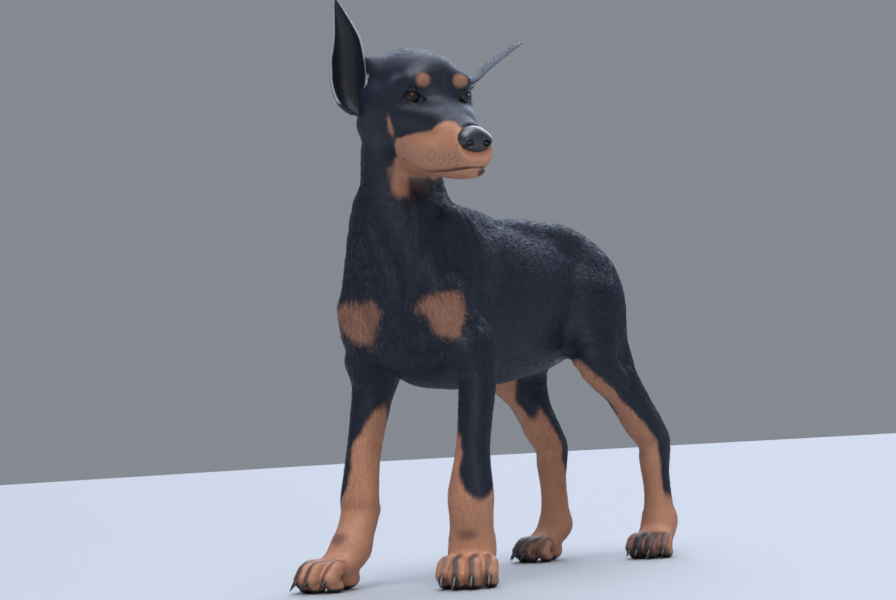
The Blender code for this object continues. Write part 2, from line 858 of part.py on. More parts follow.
def make_body(every):
    """Torso, neck and legs, all parted from one solid, and the tail set into it."""
    masses = trunk() + neck() + both(foreleg) + both(hindleg)
    body = flesh("torso", masses, every, 0.0035, 5200)
    nape_point, nape_normal = in_head(NAPE)
    slice_off(body, nape_point, nape_normal)
    neck_part = copy_of(body, "neck")
    slice_off(neck_part, *back_of(NECK_BASE))
    slice_off(body, *NECK_BASE)
    tail_part = flesh("tail", tail(), tail(), 0.0020, 200)
    slice_off(tail_part, (0, RUMP_BACK - 0.024, 0), (0, -1, 0))
    carve(body, fattened(tail_part))
    for side, s in (("left", 1), ("right", -1)):
        for name, planes in (("foreleg_", foreleg_planes(s)), ("hindleg_", hindleg_planes(s))):
            leg = copy_of(body, name + side)
            for point, normal in planes:
                slice_off(leg, point, normal)
            slice_off(leg, (0, 0, PAW_TOP), (0, 0, -1))
        carve(body, block(foreleg_planes(s)))
        carve(body, block(hindleg_planes(s)))
    return body


def make_paws(every):
    kinds = (("fore", FOREFEET, FORE_SIZE, 700), ("hind", HINDFEET, HIND_SIZE, 640))
    for kind, feet, size, triangles in kinds:
        for side, place in feet.items():
            s = 1 if side == "left" else -1
            leg = foreleg(s) if kind == "fore" else hindleg(s)
            masses = foot(place, size) + [mass for mass in leg if mass.box()[0][2] < PAW_TOP + 0.02]
            name = f"{kind}paw_{side}"
            paw = flesh(name, masses, every, 0.0016, triangles)
            slice_off(paw, (0, 0, PAW_TOP - CUT), (0, 0, 1))
            slice_off(paw, (0, 0, 0), (0, 0, -1))
            for toe in range(4):
                carve(paw, fattened(nail(f"nail_{kind}_{side}_{toe + 1}", place, size, toe)))


def make_head(every):
    head_part = flesh("head", head() + neck(), every, 0.0021, 2700)
    slice_off(head_part, *back_of(in_head(NAPE)))
    slice_off(head_part, *in_head(NOSE_BACK))
    nose_part = flesh("nose", nose(), nose(), 0.0010, 420)
    slice_off(nose_part, *back_of(in_head(NOSE_BACK)))
    for side, s in (("left", 1), ("right", -1)):
        carve(head_part, fattened(ear(side)))
        ball = eyeball("eye_" + side, s)
        carve(head_part, eye_opening(s))
        carve(head_part, fattened(ball))


def eyeball(name, s):
    bm = bmesh.new()
    middle = Matrix.Translation((EYE_SPACING / 2 * s, 0.002, 0))
    bmesh.ops.create_uvsphere(
        bm, u_segments=14, v_segments=9, radius=EYE_RADIUS, matrix=head_frame() @ middle
    )
    return new_object(name, bm)


def eye_opening(s):
    """The almond between the lids, wider than it is high, facing a little outward."""
    turn = rotation((20 * s, 0, -9 * s)).to_4x4()
    half = Matrix.Diagonal((0.0086, 0.0070, 0.0049, 1))
    spot = Matrix.Translation((EYE_SPACING / 2 * s + 0.0020 * s, -0.0070, 0))
    bm = bmesh.new()
    place = head_frame() @ spot @ turn @ half
    bmesh.ops.create_uvsphere(bm, u_segments=16, v_segments=10, radius=1, matrix=place)
    return new_object("opening", bm)


# Materials and the finished part

COATS = {  # colour, roughness
    "black_coat": ((0.012, 0.013, 0.018), 0.55),
    "tan_coat": ((0.36, 0.15, 0.07), 0.65),
    "ear_skin": ((0.020, 0.020, 0.026), 0.60),
    "nose_leather": ((0.010, 0.010, 0.012), 0.35),
    "eye_brown": ((0.020, 0.010, 0.006), 0.08),
    "nail_horn": ((0.012, 0.011, 0.011), 0.30),
}
FINISHES = {
    "nose": "nose_leather",
    "eye": "eye_brown",
    "ear": "ear_skin",
    "nail": "nail_horn",
    "forepaw": "tan_coat",
    "hindpaw": "tan_coat",
    "foreleg": "tan_coat",
    "hindleg": "tan_coat",
}


def finish(obj):
    kind = FINISHES.get(obj.name.split("_")[0], "black_coat")
    (red, green, blue), roughness = COATS[kind]
    material = bpy.data.materials.new(obj.name)
    material.use_nodes = True
    shader = material.node_tree.nodes["Principled BSDF"]
    shader.inputs["Base Color"].default_value = (red, green, blue, 1)
    shader.inputs["Roughness"].default_value = roughness
    shader.inputs["Metallic"].default_value = 0.0
    material.diffuse_color = (red, green, blue, 1)
    obj.data.materials.clear()
    obj.data.materials.append(material)


def main():
    for obj in list(bpy.data.objects):
        bpy.data.objects.remove(obj)
    feet = []
    for place in FOREFEET.values():
        feet += foot(place, FORE_SIZE)
    for place in HINDFEET.values():
        feet += foot(place, HIND_SIZE)
    every = trunk() + neck() + both(foreleg) + both(hindleg) + feet + head()
    make_body(every)
    make_paws(every)
    make_head(every)
    for obj in bpy.data.objects:
        obj.data.transform(Matrix.Translation(-ORIGIN))
        finish(obj)


main()
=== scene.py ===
# Doberman pinscher puppy, about ten weeks old, as a life-size standing model.
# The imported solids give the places; the skin, a short coat, eyes, nose and nails are made here.
# Sizes are typed in millimetres and used in metres.
import math

import bmesh
import bpy
import numpy as np
from mathutils import Matrix, Vector
from mathutils.kdtree import KDTree


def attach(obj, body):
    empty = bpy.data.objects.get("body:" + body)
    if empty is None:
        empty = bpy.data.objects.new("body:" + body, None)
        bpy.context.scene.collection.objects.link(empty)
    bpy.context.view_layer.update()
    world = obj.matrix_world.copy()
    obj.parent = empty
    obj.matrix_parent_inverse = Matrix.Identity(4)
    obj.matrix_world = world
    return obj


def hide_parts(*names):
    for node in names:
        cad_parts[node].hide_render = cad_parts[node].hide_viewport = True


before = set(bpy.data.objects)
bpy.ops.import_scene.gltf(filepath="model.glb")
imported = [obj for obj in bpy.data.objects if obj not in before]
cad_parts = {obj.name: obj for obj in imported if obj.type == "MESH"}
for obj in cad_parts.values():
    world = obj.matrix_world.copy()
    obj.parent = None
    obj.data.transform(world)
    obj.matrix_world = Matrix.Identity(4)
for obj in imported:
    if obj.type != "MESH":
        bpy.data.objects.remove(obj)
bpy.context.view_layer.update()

# The puppy's own coordinates: its feet's middle at y = 0, facing -Y, its left side +X
puppy = {
    "origin": (25.5, 146.0, 0.0),  # the frame's origin, seen from the puppy's own
    "withers": 350,
    "brisket": 178,
    "chestFront": 16,
    "rumpBack": 320,
    "chestHalf": 55,
    "elbowHeight": 188,
    "wristHeight": 82,
    "hockHeight": 113,
    "face": (75.7, 4.7, 435.1),  # the point between the eyes
    "headTurn": (72.9, 16.4, -3.1),  # to its left, nose down, lean, in degrees
}
# Each foot: x, y of its middle, toes turned out in degrees, and how far behind it the pastern is
forefeet = {"left": (62, 29, 30, 12), "right": (-59, -24, 6, 22)}
hindfeet = {"left": (58, 319, 12, 18), "right": (-50, 269, 8, 22)}
feet = (("fore", forefeet, 1.04), ("hind", hindfeet, 0.92))  # with their size
forelegs = {"left": (52, 37), "right": (34, 15.5)}  # y of elbow and wrist
hindlegs = {"left": (240, 340), "right": (223, 304)}  # y of knee and hock
sides = {"left": 1, "right": -1}


# Small helpers


def metres(typed):
    return np.array(typed, float) / 1000


def millimetres(place):
    return np.array(place, float) * 1000


def rotation(turn):
    left, down, lean = (math.radians(angle) for angle in turn)
    about = Matrix.Rotation(left, 3, "Z") @ Matrix.Rotation(down, 3, "X")
    return about @ Matrix.Rotation(lean, 3, "Y")


def splined(stations, steps):
    rows = np.array(stations, float)
    padded = np.vstack([2 * rows[0] - rows[1], rows, 2 * rows[-1] - rows[-2]])
    path = []
    for i in range(len(rows) - 1):
        a, b, c, d = padded[i : i + 4]
        for t in np.arange(steps) / steps:
            bend = (2 * a - 5 * b + 4 * c - d) * t**2 + (3 * b - a - 3 * c + d) * t**3
            path.append(0.5 * (2 * b + (c - a) * t + bend))
    path.append(rows[-1])
    return np.array(path)


def smooth(x, low, high):
    t = np.clip((x - low) / (high - low), 0, 1)
    return t * t * (3 - 2 * t)


def lengths(rows):
    return np.sqrt(np.einsum("ij,ij->i", rows, rows))


def unit(rows):
    return rows / np.maximum(lengths(rows), 1e-9)[:, None]


def within(points, low, high):
    # indices of the points inside a box
    found = np.flatnonzero((points[:, 0] > low[0]) & (points[:, 0] < high[0]))
    for axis in (1, 2):
        value = points[found, axis]
        found = found[(value > low[axis]) & (value < high[axis])]
    return found


def added(name, data):
    obj = bpy.data.objects.new(name, data)
    bpy.context.scene.collection.objects.link(obj)
    return obj


# Rounded masses that flow into one another, like muscle under skin

flip = np.array((-1, 1, 1))  # from one side of the puppy to the other


def tube(stations, blend=12, side=(1, 0, 0), steps=4, carve=False):
    # stations: x, y, z, half width, half depth
    path = splined(metres(stations), steps)
    return {"path": path, "side": np.array(side, float), "blend": blend / 1000, "carve": carve}


def oval(centre, half, blend=12, turn=(0, 0, 0), carve=False):
    mass = {"centre": metres(centre), "half": metres(half), "turn": np.array(rotation(turn))}
    return mass | {"blend": blend / 1000, "carve": carve}


def mirrored(mass):
    if "path" in mass:
        return mass | {"path": mass["path"] * (-1, 1, 1, 1, 1), "side": -flip * mass["side"]}
    return mass | {"centre": flip * mass["centre"], "turn": np.outer(flip, flip) * mass["turn"]}


def bothSides(masses):
    return masses + [mirrored(mass) for mass in masses]


def moved(mass, matrix):
    turned = np.array(matrix.to_3x3())
    shift = np.array(matrix.translation)
    if "path" in mass:
        mass["path"][:, :3] = mass["path"][:, :3] @ turned.T + shift
        mass["side"] = turned @ mass["side"]
    else:
        mass["centre"] = turned @ mass["centre"] + shift
        mass["turn"] = turned @ mass["turn"]
    return mass


def reachOf(mass):
    if "path" in mass:
        wide = mass["path"][:, 3:5].max(axis=1)[:, None]
        middle = mass["path"][:, :3]
        return (middle - wide).min(axis=0), (middle + wide).max(axis=0)
    wide = np.abs(mass["turn"]) @ mass["half"]
    return mass["centre"] - wide, mass["centre"] + wide


def axesOf(mass, i):
    span = mass["path"][i + 1, :3] - mass["path"][i, :3]
    along = span / np.linalg.norm(span)
    side = mass["side"] - along * (mass["side"] @ along)
    side /= np.linalg.norm(side)
    return along, side, np.cross(along, side)


def outside(mass, points):
    # about how far each point lies outside the mass
    if "centre" in mass:
        off = points - mass["centre"]
        ring = np.maximum(lengths(off @ (mass["turn"] / mass["half"])), 1e-4)
        return (ring - 1) * lengths(off) / ring
    nearest = np.full(len(points), 1.0)
    for i in range(len(mass["path"]) - 1):
        start, end = mass["path"][i], mass["path"][i + 1]
        span = end[:3] - start[:3]
        along, side, third = axesOf(mass, i)
        off = points - start[:3]
        t = np.clip(off @ span / (span @ span), 0, 1)
        off = off - t[:, None] * span
        width = start[3] + t * (end[3] - start[3])
        depth = start[4] + t * (end[4] - start[4])
        flat = (off @ side / width) ** 2 + (off @ third / depth) ** 2
        ring = np.maximum(np.sqrt(flat + (off @ along / np.minimum(width, depth)) ** 2), 1e-4)
        nearest = np.minimum(nearest, (ring - 1) * lengths(off) / ring)
    return nearest


def skinField(points, masses):
    result = np.full(len(points), 0.05)
    for mass in masses:
        low, high = reachOf(mass)
        margin = mass["blend"] + 0.008
        near = within(points, low - margin, high + margin)
        if not len(near):
            continue
        there = outside(mass, points[near])
        here = result[near]
        if mass["carve"]:
            mix = np.maximum(mass["blend"] - np.abs(here + there), 0) / mass["blend"]
            result[near] = np.maximum(here, -there) + mix**2 * mass["blend"] / 4
        else:
            mix = np.maximum(mass["blend"] - np.abs(here - there), 0) / mass["blend"]
            result[near] = np.minimum(here, there) - mix**2 * mass["blend"] / 4
    return result


def massRings(mass, around):
    # rings of points round the mass, from end to end
    angles = np.arange(around) * math.tau / around
    if "centre" in mass:
        rings = []
        for tilt in np.radians(np.linspace(-84, 84, 11)):
            flat = np.column_stack(
                [np.cos(angles), np.sin(angles), np.full(around, math.tan(tilt))]
            )
            rings.append(mass["centre"] + (flat * math.cos(tilt) * mass["half"]) @ mass["turn"].T)
        return rings
    path = mass["path"]
    last = len(path) - 2
    spots = [(0, 0, -math.sin(a), math.cos(a)) for a in (1.4, 0.87, 0.44)]
    spots += [(i, min(i, last), 0, 1) for i in range(len(path))]
    spots += [(-1, last, math.sin(a), math.cos(a)) for a in (0.44, 0.87, 1.4)]
    rings = []
    for at, span, ahead, size in spots:
        x, y, z, width, depth = path[at]
        along, side, third = axesOf(mass, span)
        middle = np.array((x, y, z)) + along * ahead * min(width, depth)
        across = np.outer(np.cos(angles), side * width) + np.outer(np.sin(angles), third * depth)
        rings.append(middle + size * across)
    return rings


def ringFaces(count, around, first=0):
    # the faces of a closed loft over rings of points
    faces = []
    for row in range(count - 1):
        low, high = first + row * around, first + (row + 1) * around
        for j in range(around):
            k = (j + 1) % around
            faces.append((low + j, low + k, high + k, high + j))
    faces.append(tuple(range(first + around - 1, first - 1, -1)))
    faces.append(tuple(range(first + (count - 1) * around, first + count * around)))
    return faces


def lofted(name, lofts):
    # one object of closed lofts, each a list of rings
    points, faces = [], []
    for rings in lofts:
        faces += ringFaces(len(rings), len(rings[0]), sum(len(part) for part in points))
        points += [np.array(ring, float) for ring in rings]
    mesh = bpy.data.meshes.new(name)
    mesh.from_pydata(np.vstack(points).tolist(), [], faces)
    mesh.update()
    return added(name, mesh)


# The puppy's masses, region by region


def trunkMasses():
    middle = (puppy["withers"] + puppy["brisket"]) / 2
    barrel = [
        (0, puppy["chestFront"] + 12, 250, 34, 36), (0, 44, 259, 43, 68),
        (0, 70, middle - 2, 49, 83),
        (0, 105, middle, 53, middle - puppy["brisket"]), (0, 150, 264, puppy["chestHalf"], 82),
        (0, 200, 267, 51, 76), (0, 240, 274, 45, 69), (0, 270, 278, 41, 58), (0, 294, 280, 34, 40),
    ]
    muscles = [
        oval((24, 26, 238), (24, 18, 36), 14),
        oval((12, 100, 336), (13, 36, 13), 20),
        oval((14, 195, 336), (11, 60, 9), 20),
        oval((18, 246, 326), (16, 28, 17), 20),
        oval((20, 278, 310), (18, 24, 20), 20),
        oval((24, 293, 286), (18, 17, 24), 16),
    ]
    return [tube(barrel, 10), oval((0, 46, 214), (30, 34, 28), 22)] + bothSides(muscles)


def tailMasses():
    back = puppy["rumpBack"]
    return [tube([
        (0, back - 30, 306, 12.5, 11), (0, back - 4, 306, 10.5, 9.5),
        (0, back + 14, 298, 8.5, 8), (0, back + 21, 287, 7, 6.5),
    ], 8)]


def neckMasses():
    nape = [
        (0, 58, 285, 50, 66), (0, 36, 325, 46, 56), (1, 33, 366, 36, 43), (12, 19, 402, 31, 37),
        (26, 14, 424, 31, 36),
    ]
    throat = [(10, -4, 392, 12, 13), (2, -2, 340, 15, 14), (0, 12, 275, 16, 14)]
    return [tube(nape, 22), tube(throat, 18)]


def footFrame(foot):
    x, y, out, _ = foot
    return Matrix.Translation(metres((x, y, 0))) @ Matrix.Rotation(
        math.radians(math.copysign(out, x)), 4, "Z"
    )


def footPoint(foot, *place):
    return footFrame(foot) @ Vector(metres(place))


def ankleOf(foot):
    # of the foot as it would be on the left
    return millimetres(footPoint((abs(foot[0]), *foot[1:]), 0, foot[3], 36))


def legOf(side, masses):
    return masses if side == "left" else [mirrored(mass) for mass in masses]


def forelegMasses(side):
    elbowY, wristY = forelegs[side]
    elbow, wrist = puppy["elbowHeight"], puppy["wristHeight"]
    reach = elbowY - forelegs["left"][0]
    turn = math.radians(0.8 * forefeet[side][2])
    bones = [
        (55, 50 + reach, 212, 18, 26), (58, elbowY + 5, elbow, 17.5, 23),
        (60, elbowY - 3, 150, 15.8, 19.2),
        (60.3, (elbowY + wristY) / 2 - 2, 118, 16, 17.5), (60, wristY, wrist, 21.8, 16.5),
        (60, wristY - 1, 66, 21.2, 16.5), (*ankleOf(forefeet[side]), 19.5, 16.5),
    ]
    return legOf(side, [
        oval((36, 72 + reach, 290), (18, 32, 56), 18, (0, 20, 8)),
        oval((46, 36 + reach, 244), (20, 24, 34), 16, (0, -10, 0)),
        tube([(14, 24 + reach, 345, 12, 13), (29, 20 + reach, 300, 13, 14), (43, 26 + reach, 262, 14, 16)], 18),
        oval((53, 60 + reach, 212), (18, 27, 34), 16, (0, 12, 0)),
        tube(bones, side=(math.cos(turn), math.sin(turn), 0)),
        oval((58, wristY + 15, wrist - 12), (7, 7, 8), 10),
    ])


def hindlegMasses(side):
    kneeY, hockY = hindlegs[side]
    step = hockY - hindlegs["left"][1]
    hip = puppy["rumpBack"] - 54 + 0.1 * step
    knee = Vector(metres((54, kneeY, 196)))
    hock = Vector(metres((54, hockY, puppy["hockHeight"])))
    ankle = ankleOf(hindfeet[side])

    def shin(share, back=0, up=0):
        return millimetres(knee.lerp(hock, share) + Vector(metres((0, back, up))))

    haunch = [
        (37, hip + 14, 272, 18, 22), (40, hip + 18 + 0.2 * step, 240, 18, 22),
        (46, hip + 24 + 0.5 * step, 208, 15, 19), (50, kneeY + 62 + 0.3 * step, 176, 12, 14),
        (*shin(0.7), 10, 12),
    ]
    thigh = [
        (40, hip - 4, 265, 24, 38), (47, hip - 14, 230, 23, 36), (*shin(0, 8, 3), 19, 23.5),
        (*shin(0.45, 7, 4), 15, 15), (*shin(0.8, 3, 1), 13.5, 14.5),
    ]
    lower = [
        (*shin(0.45, 7, 4), 14.5, 14.5), (*shin(1, -8, 10), 14.5, 18),
        (*shin(1, -6, -14), 14.5, 18),
        ((54 + ankle[0]) / 2, (hockY - 4 + ankle[1]) / 2, 70, 14, 15.5), (*ankle, 17, 16),
    ]
    tendon = [
        (*shin(0.3, 22, 12), 12, 12), (*shin(1, 4, 26), 6.5, 6.5), (*shin(1, 12, 6), 8.5, 8.5),
        (*shin(1, 6, -14), 9, 8),
    ]
    hipMass = oval((36, hip, 258), (24, 42, 56), 20, (0, -18, 0))
    return legOf(
        side, [hipMass, tube(haunch, 16), tube(thigh, 16), tube(lower, 10), tube(tendon, 8)]
    )


toes = ((-18.5, -15), (-6.6, -25), (6.6, -25), (18.5, -15))  # side, reach


def footMasses(place, size):
    back, thick = place[3], 8 * size
    masses = [
        tube([
            (0, back, 38, 19.5 * size, 16 * size), (0, 0.5 * back + 1, 26, 21.5 * size, 15 * size),
            (0, -4, 17, 20.5 * size, 12 * size),
        ], 8),
        oval((0, 11 * size, 9.5), (16.5 * size, 14.5 * size, 10.5), 7),
    ]
    for across, reach in toes:
        across, reach = across * size, reach * size
        masses.append(tube([
            (across * 0.72, 0, 19 * size + 1, thick, thick),
            (across, reach + 4, 19 * size + 1, thick, thick),
            (across * 1.06, reach - 4, 11 * size + 1, thick, thick),
        ], 3))
        masses.append(oval((across * 1.04, reach + 2, 6), (7.2 * size, 9 * size, 7.5), 3))
    return [moved(mass, footFrame(place)) for mass in masses]


headFrame = Matrix.Translation(metres(puppy["face"])) @ rotation(puppy["headTurn"]).to_4x4()
eye = {
    "spacing": 51,
    "radius": 9,
    "set": 2,  # how far the ball's middle lies behind the face's middle point
    "outward": 20,  # the opening's turn, in degrees
    "tilt": -9,  # outer corner higher than inner
}


def headPoint(place):
    return headFrame @ Vector(metres(place))


def headMasses():
    muzzle = [
        (0, 12, -13, 34, 22), (0, -14, -24, 26, 22.5), (0, -34, -31, 22, 19.5),
        (0, -54, -34.5, 19.5, 17.3),
        (0, -66, -37.5, 17, 14),
    ]
    jaw = [
        (0, 52, -47, 30, 23), (0, 20, -54, 27, 18), (0, -20, -57, 21.5, 13),
        (0, -45, -58, 17, 11.5), (0, -66.5, -57, 13, 9.2),
    ]
    cheekbone = [
        (14, -26, -20, 10, 11), (28, -1, -16.5, 10.5, 10.5), (38, 22, -10, 9, 11),
        (40, 45, -4, 8, 12)
    ]
    flews = [
        (7.5, -69.5, -44, 9, 11.5), (14.5, -47, -46, 10, 14.5), (19.5, -22, -47, 11.5, 17),
        (23, 6, -40, 13, 19)
    ]
    earRoot = [
        (30, 52, 16, 10, 12), (33, 56, 4, 11, 14), (34, 58, -14, 12, 13), (36, 59, -28, 12, 12)
    ]
    lips = [
        (1, -81, -54.5, 5, 0.9), (12, -74, -56, 5, 0.9), (19, -50, -60.8, 5, 0.9),
        (25, -25, -64.5, 5, 0.9), (29, -8, -61.5, 4.5, 0.9), (31, 2, -54.5, 3.5, 0.8),
    ]
    masses = [
        oval((0, 44, 4.5), (41, 50, 38.5), 14),
        oval((0, 14, 12.5), (28, 21, 23), 14),
        oval((0, 80, 4), (24, 20, 22), 16),
        tube(muzzle),
        tube(jaw, 8),
    ]
    masses += bothSides([
        oval((31, 34, -26), (17, 30, 27), 14, (8, 0, 0)),
        tube(cheekbone, 10),
        oval((23, 1, 15.5), (13, 11, 8.5), 8, (0, 0, 18)),
        oval((34.5, 15, 3), (7, 11, 10)),
        tube(flews, 6),
        tube(earRoot),
        oval((eye["spacing"] / 2, 2.2, 0), (10.8, 10.4, 10.6), 5),
        tube(lips, 1.5, carve=True),
    ])
    masses.append(tube([(-24, 58, 20, 10, 11), (-40, 62, 27, 6, 8)], 10))
    # flat behind the nose
    masses.append(oval((0, -83.7, -22.2), (50, 20, 50), 2, (0, -27.8, 0), True))
    return [moved(mass, headFrame) for mass in masses]


lid = {"wide": 60, "upper": 36, "lower": 30, "rim": 1, "stations": 9}
lidTurn = rotation((eye["outward"], 0, eye["tilt"]))
lidShares = [(t, (1 - t * t) ** 0.75) for t in np.linspace(-1, 1, lid["stations"])]


def onEye(outwards, upwards, radius):
    # a place over the left eyeball, by its angles from the middle of the opening, in the head's
    # frame
    a, b = math.radians(outwards), math.radians(upwards)
    ray = lidTurn @ Vector((math.sin(a) * math.cos(b), -math.cos(a) * math.cos(b), math.sin(b)))
    return millimetres(Vector(metres((eye["spacing"] / 2, eye["set"], 0))) + ray * (radius / 1000))


def lidCurve(height, radius, wide=lid["wide"]):
    return [onEye(t * wide, height * arch, radius) for t, arch in lidShares]


def lidMasses():
    upper, lower, rim, ball = lid["upper"], lid["lower"], lid["rim"], eye["radius"]
    tall = ball * math.sin(math.radians((upper + lower) / 2))
    gap = []
    for t, arch in lidShares:
        middle = onEye(t * lid["wide"], (upper - lower) / 2 * arch, ball + 1)
        gap.append((*middle, max(tall * arch, 0.8), 5.2))
    masses = [tube(gap, 1.4, lidTurn @ Vector((0, 0, 1)), 2, True)]
    for height, thick in ((upper, 1.15 * rim), (-lower, rim)):
        masses.append(
            tube([(*place, thick, thick) for place in lidCurve(height, ball + 1)], 1.6, steps=2)
        )
    return [moved(mass, headFrame) for mass in bothSides(masses)]


print("masses defined")


# Mesh tools


def applied(obj):
    graph = bpy.context.evaluated_depsgraph_get()
    mesh = bpy.data.meshes.new_from_object(obj.evaluated_get(graph))
    obj.modifiers.clear()
    obj.data = mesh
    return obj


def remeshed(obj, voxel):
    modifier = obj.modifiers.new("Remesh", "REMESH")
    modifier.mode = "VOXEL"
    modifier.voxel_size = voxel / 1000
    return applied(obj)


def read(values, name, rows, width=3, kind=np.float32):
    found = np.empty(rows * width, kind)
    values.foreach_get(name, found)
    return found.reshape(-1, width)


def pointsOf(mesh):
    return read(mesh.vertices, "co", len(mesh.vertices)).astype(float)


def normalsOf(mesh):
    return read(mesh.vertex_normals, "vector", len(mesh.vertices)).astype(float)


def setPoints(mesh, points):
    mesh.vertices.foreach_set("co", points.astype(np.float32).ravel())
    mesh.update()


def edited(obj, change):
    bm = bmesh.new()
    bm.from_mesh(obj.data)
    bm.verts.ensure_lookup_table()
    bm.faces.ensure_lookup_table()
    change(bm)
    bm.to_mesh(obj.data)
    bm.free()


def refined(obj, inside):
    # splits the faces whose middle lies inside
    def split(bm):
        middles = np.array([face.calc_center_median() for face in bm.faces])
        edges = {edge for i in np.flatnonzero(inside(middles)) for edge in bm.faces[i].edges}
        bmesh.ops.subdivide_edges(bm, edges=list(edges), cuts=1, use_grid_fill=True)

    edited(obj, split)


def eased(obj, close, rounds):
    # evens out the surface at the chosen points
    everyWay = {"use_axis_x": True, "use_axis_y": True, "use_axis_z": True}

    def ease(bm):
        chosen = [bm.verts[i] for i in np.flatnonzero(close)]
        for _ in range(rounds):
            bmesh.ops.smooth_vert(bm, verts=chosen, factor=0.5, **everyWay)

    edited(obj, ease)


# Folds, creases and swellings that are pressed into the skin: a line, its width and its depth

lidLift = eye["radius"] + 2.2
faceFolds = (  # in the head's own frame, on both sides
    (lidCurve(lid["upper"] + 20, lidLift, 52), 1.0, 0.8),  # over the upper lid
    (lidCurve(-lid["lower"] - 16, lidLift, 48), 1.2, 0.5),  # under the lower lid
    (((18.5, -10.5, -3.5), (16.5, -15, -9)), 1.1, 0.7),  # tear groove
    (((39.5, 10, 0), (40, 14.5, -12), (37.5, 16.5, -30)), 1.4, 0.9),  # before the cheek
    (((30, 1, -40), (28.5, -4, -54)), 1.2, 1.0),  # corner of the mouth
    (((17, -68, -38.5), (18, -63, -51)), 1.2, 0.8),  # beside the nose
)
middleFolds = (
    (((0, 30, 40), (0, 10, 32), (0, -8, 12)), 4.5, 1.2),  # down the brow
    (((0, -84, -44), (0, -82, -54)), 1.1, 1.0),  # under the nose
)
bodyFolds = (  # loose skin down the neck, the hollow between the forelegs, behind the shoulder
    (((33, 10, 358), (36, 4, 320), (35, 2, 284), (29, 2, 258)), 3, 1.4),
    (((10, -19, 330), (18, -12, 304), (23, -4, 272), (15, -2, 241)), 7, 4.2),
    (((36, 46, 361), (44, 30, 335), (45, 15, 306), (41, 4, 266)), 8, 3),
    (((49, 61, 340), (56, 65, 313), (56, 70, 276), (68, 56, 232)), 3.5, 1.6),
    (((20, 2, 240), (13, 8, 218), (15, 14, 207)), 11, 6),
)
coatDepth = {"body": 0.9, "face": 0.5}


def press(line, width, depth, matrix=Matrix()):
    points = splined(line, 5) @ np.array(matrix.to_3x3()).T + np.array(matrix.translation)
    return {"line": points, "width": width / 1000, "depth": depth / 1000}


def folds():
    found = []
    for s in (1, -1):
        found += [press(metres(line) * (s, 1, 1), *sizes, headFrame) for line, *sizes in faceFolds]
    found += [press(metres(line), *sizes, headFrame) for line, *sizes in middleFolds]
    return found + [press(metres(line), *sizes) for line, *sizes in bodyFolds]


def lineGap(points, line):
    nearest = np.full(len(points), 1.0)
    for start, end in zip(line, line[1:]):
        span = end - start
        t = np.clip((points - start) @ span / max(span @ span, 1e-12), 0, 1)
        nearest = np.minimum(nearest, lengths(points - start - t[:, None] * span))
    return nearest


def inHead(points):
    # millimetres in the head's own frame
    return (points - np.array(headFrame.translation)) @ np.array(headFrame.to_3x3()) * 1000


def skinDepth(points, dents):
    head = inHead(points)
    face = smooth(-head[:, 1], -30, 10) * smooth(-np.abs(head[:, 2] + 20), -70, -50)
    depth = (coatDepth["body"] + face * (coatDepth["face"] - coatDepth["body"])) / 1000
    for dent in dents:
        low = dent["line"].min(axis=0) - 3 * dent["width"]
        high = dent["line"].max(axis=0) + 3 * dent["width"]
        near = within(points, low, high)
        if len(near):
            gap = lineGap(points[near], dent["line"])
            depth[near] += dent["depth"] * np.exp(-((gap / dent["width"]) ** 2))
    return depth


def settle(obj, masses, dents, rounds, where=None):
    # moves the points along their normals onto the skin under the coat
    mesh = obj.data
    points = pointsOf(mesh)
    chosen = np.arange(len(points)) if where is None else np.flatnonzero(where(points))
    for _ in range(rounds):
        there = points[chosen]
        gap = skinField(there, masses) + skinDepth(there, dents)
        points[chosen] -= 0.9 * np.clip(gap, -0.003, 0.003)[:, None] * normalsOf(mesh)[chosen]
        setPoints(mesh, points)


skinSizes = {
    "rough": 3.6,
    "voxel": 2.4,
    "around": 20,  # points round each mass
    "eased": (0.045, 0.190),  # heights between which the legs are evened out, in metres
    "rounds": 5,
}


def nearHead(points, reach=0):
    head = inHead(points)
    return (head[:, 1] < 75 + reach) & (head[:, 2] > -85) & (head[:, 2] < 60)


def nearFace(points):
    head = inHead(points)
    eyes = (np.hypot(np.abs(head[:, 0]) - eye["spacing"] / 2, head[:, 2]) < 17.5) & (
        head[:, 1] < 12
    )
    lips = (head[:, 1] < 6) & (np.abs(head[:, 2] + 59) < 8.5)
    tip = (head[:, 1] < -58) & (head[:, 2] > -64)
    return nearHead(points) & (eyes | lips | tip)


def nearPaws(points):
    return points[:, 2] < 0.036


def makeSkin():
    masses = trunkMasses() + tailMasses() + neckMasses()
    for side in sides:
        masses += forelegMasses(side) + hindlegMasses(side)
    for _, places, size in feet:
        for place in places.values():
            masses += footMasses(place, size)
    masses += headMasses()
    skin = lofted(
        "skin", [massRings(mass, skinSizes["around"]) for mass in masses if not mass["carve"]]
    )
    dents = folds()
    remeshed(skin, skinSizes["rough"])
    settle(skin, masses, dents, 3)
    remeshed(skin, skinSizes["voxel"])
    settle(skin, masses, dents, 2)
    heights = pointsOf(skin.data)[:, 2]
    low, high = skinSizes["eased"]
    eased(skin, (heights > low) & (heights < high), skinSizes["rounds"])
    print("skin settled at", len(skin.data.vertices), "points")
    refined(skin, lambda points: nearHead(points) | nearPaws(points))
    settle(skin, masses, dents, 2, lambda points: nearHead(points, 4) | nearPaws(points))
    refined(skin, nearFace)
    settle(skin, masses + lidMasses(), dents, 4, nearFace)
    points = pointsOf(skin.data)
    points[:, 2] = np.maximum(points[:, 2], 0.0)
    setPoints(skin.data, points)
    print("skin refined to", len(skin.data.vertices), "points")
    return skin


skin = makeSkin()


# Ears, joined to the skin

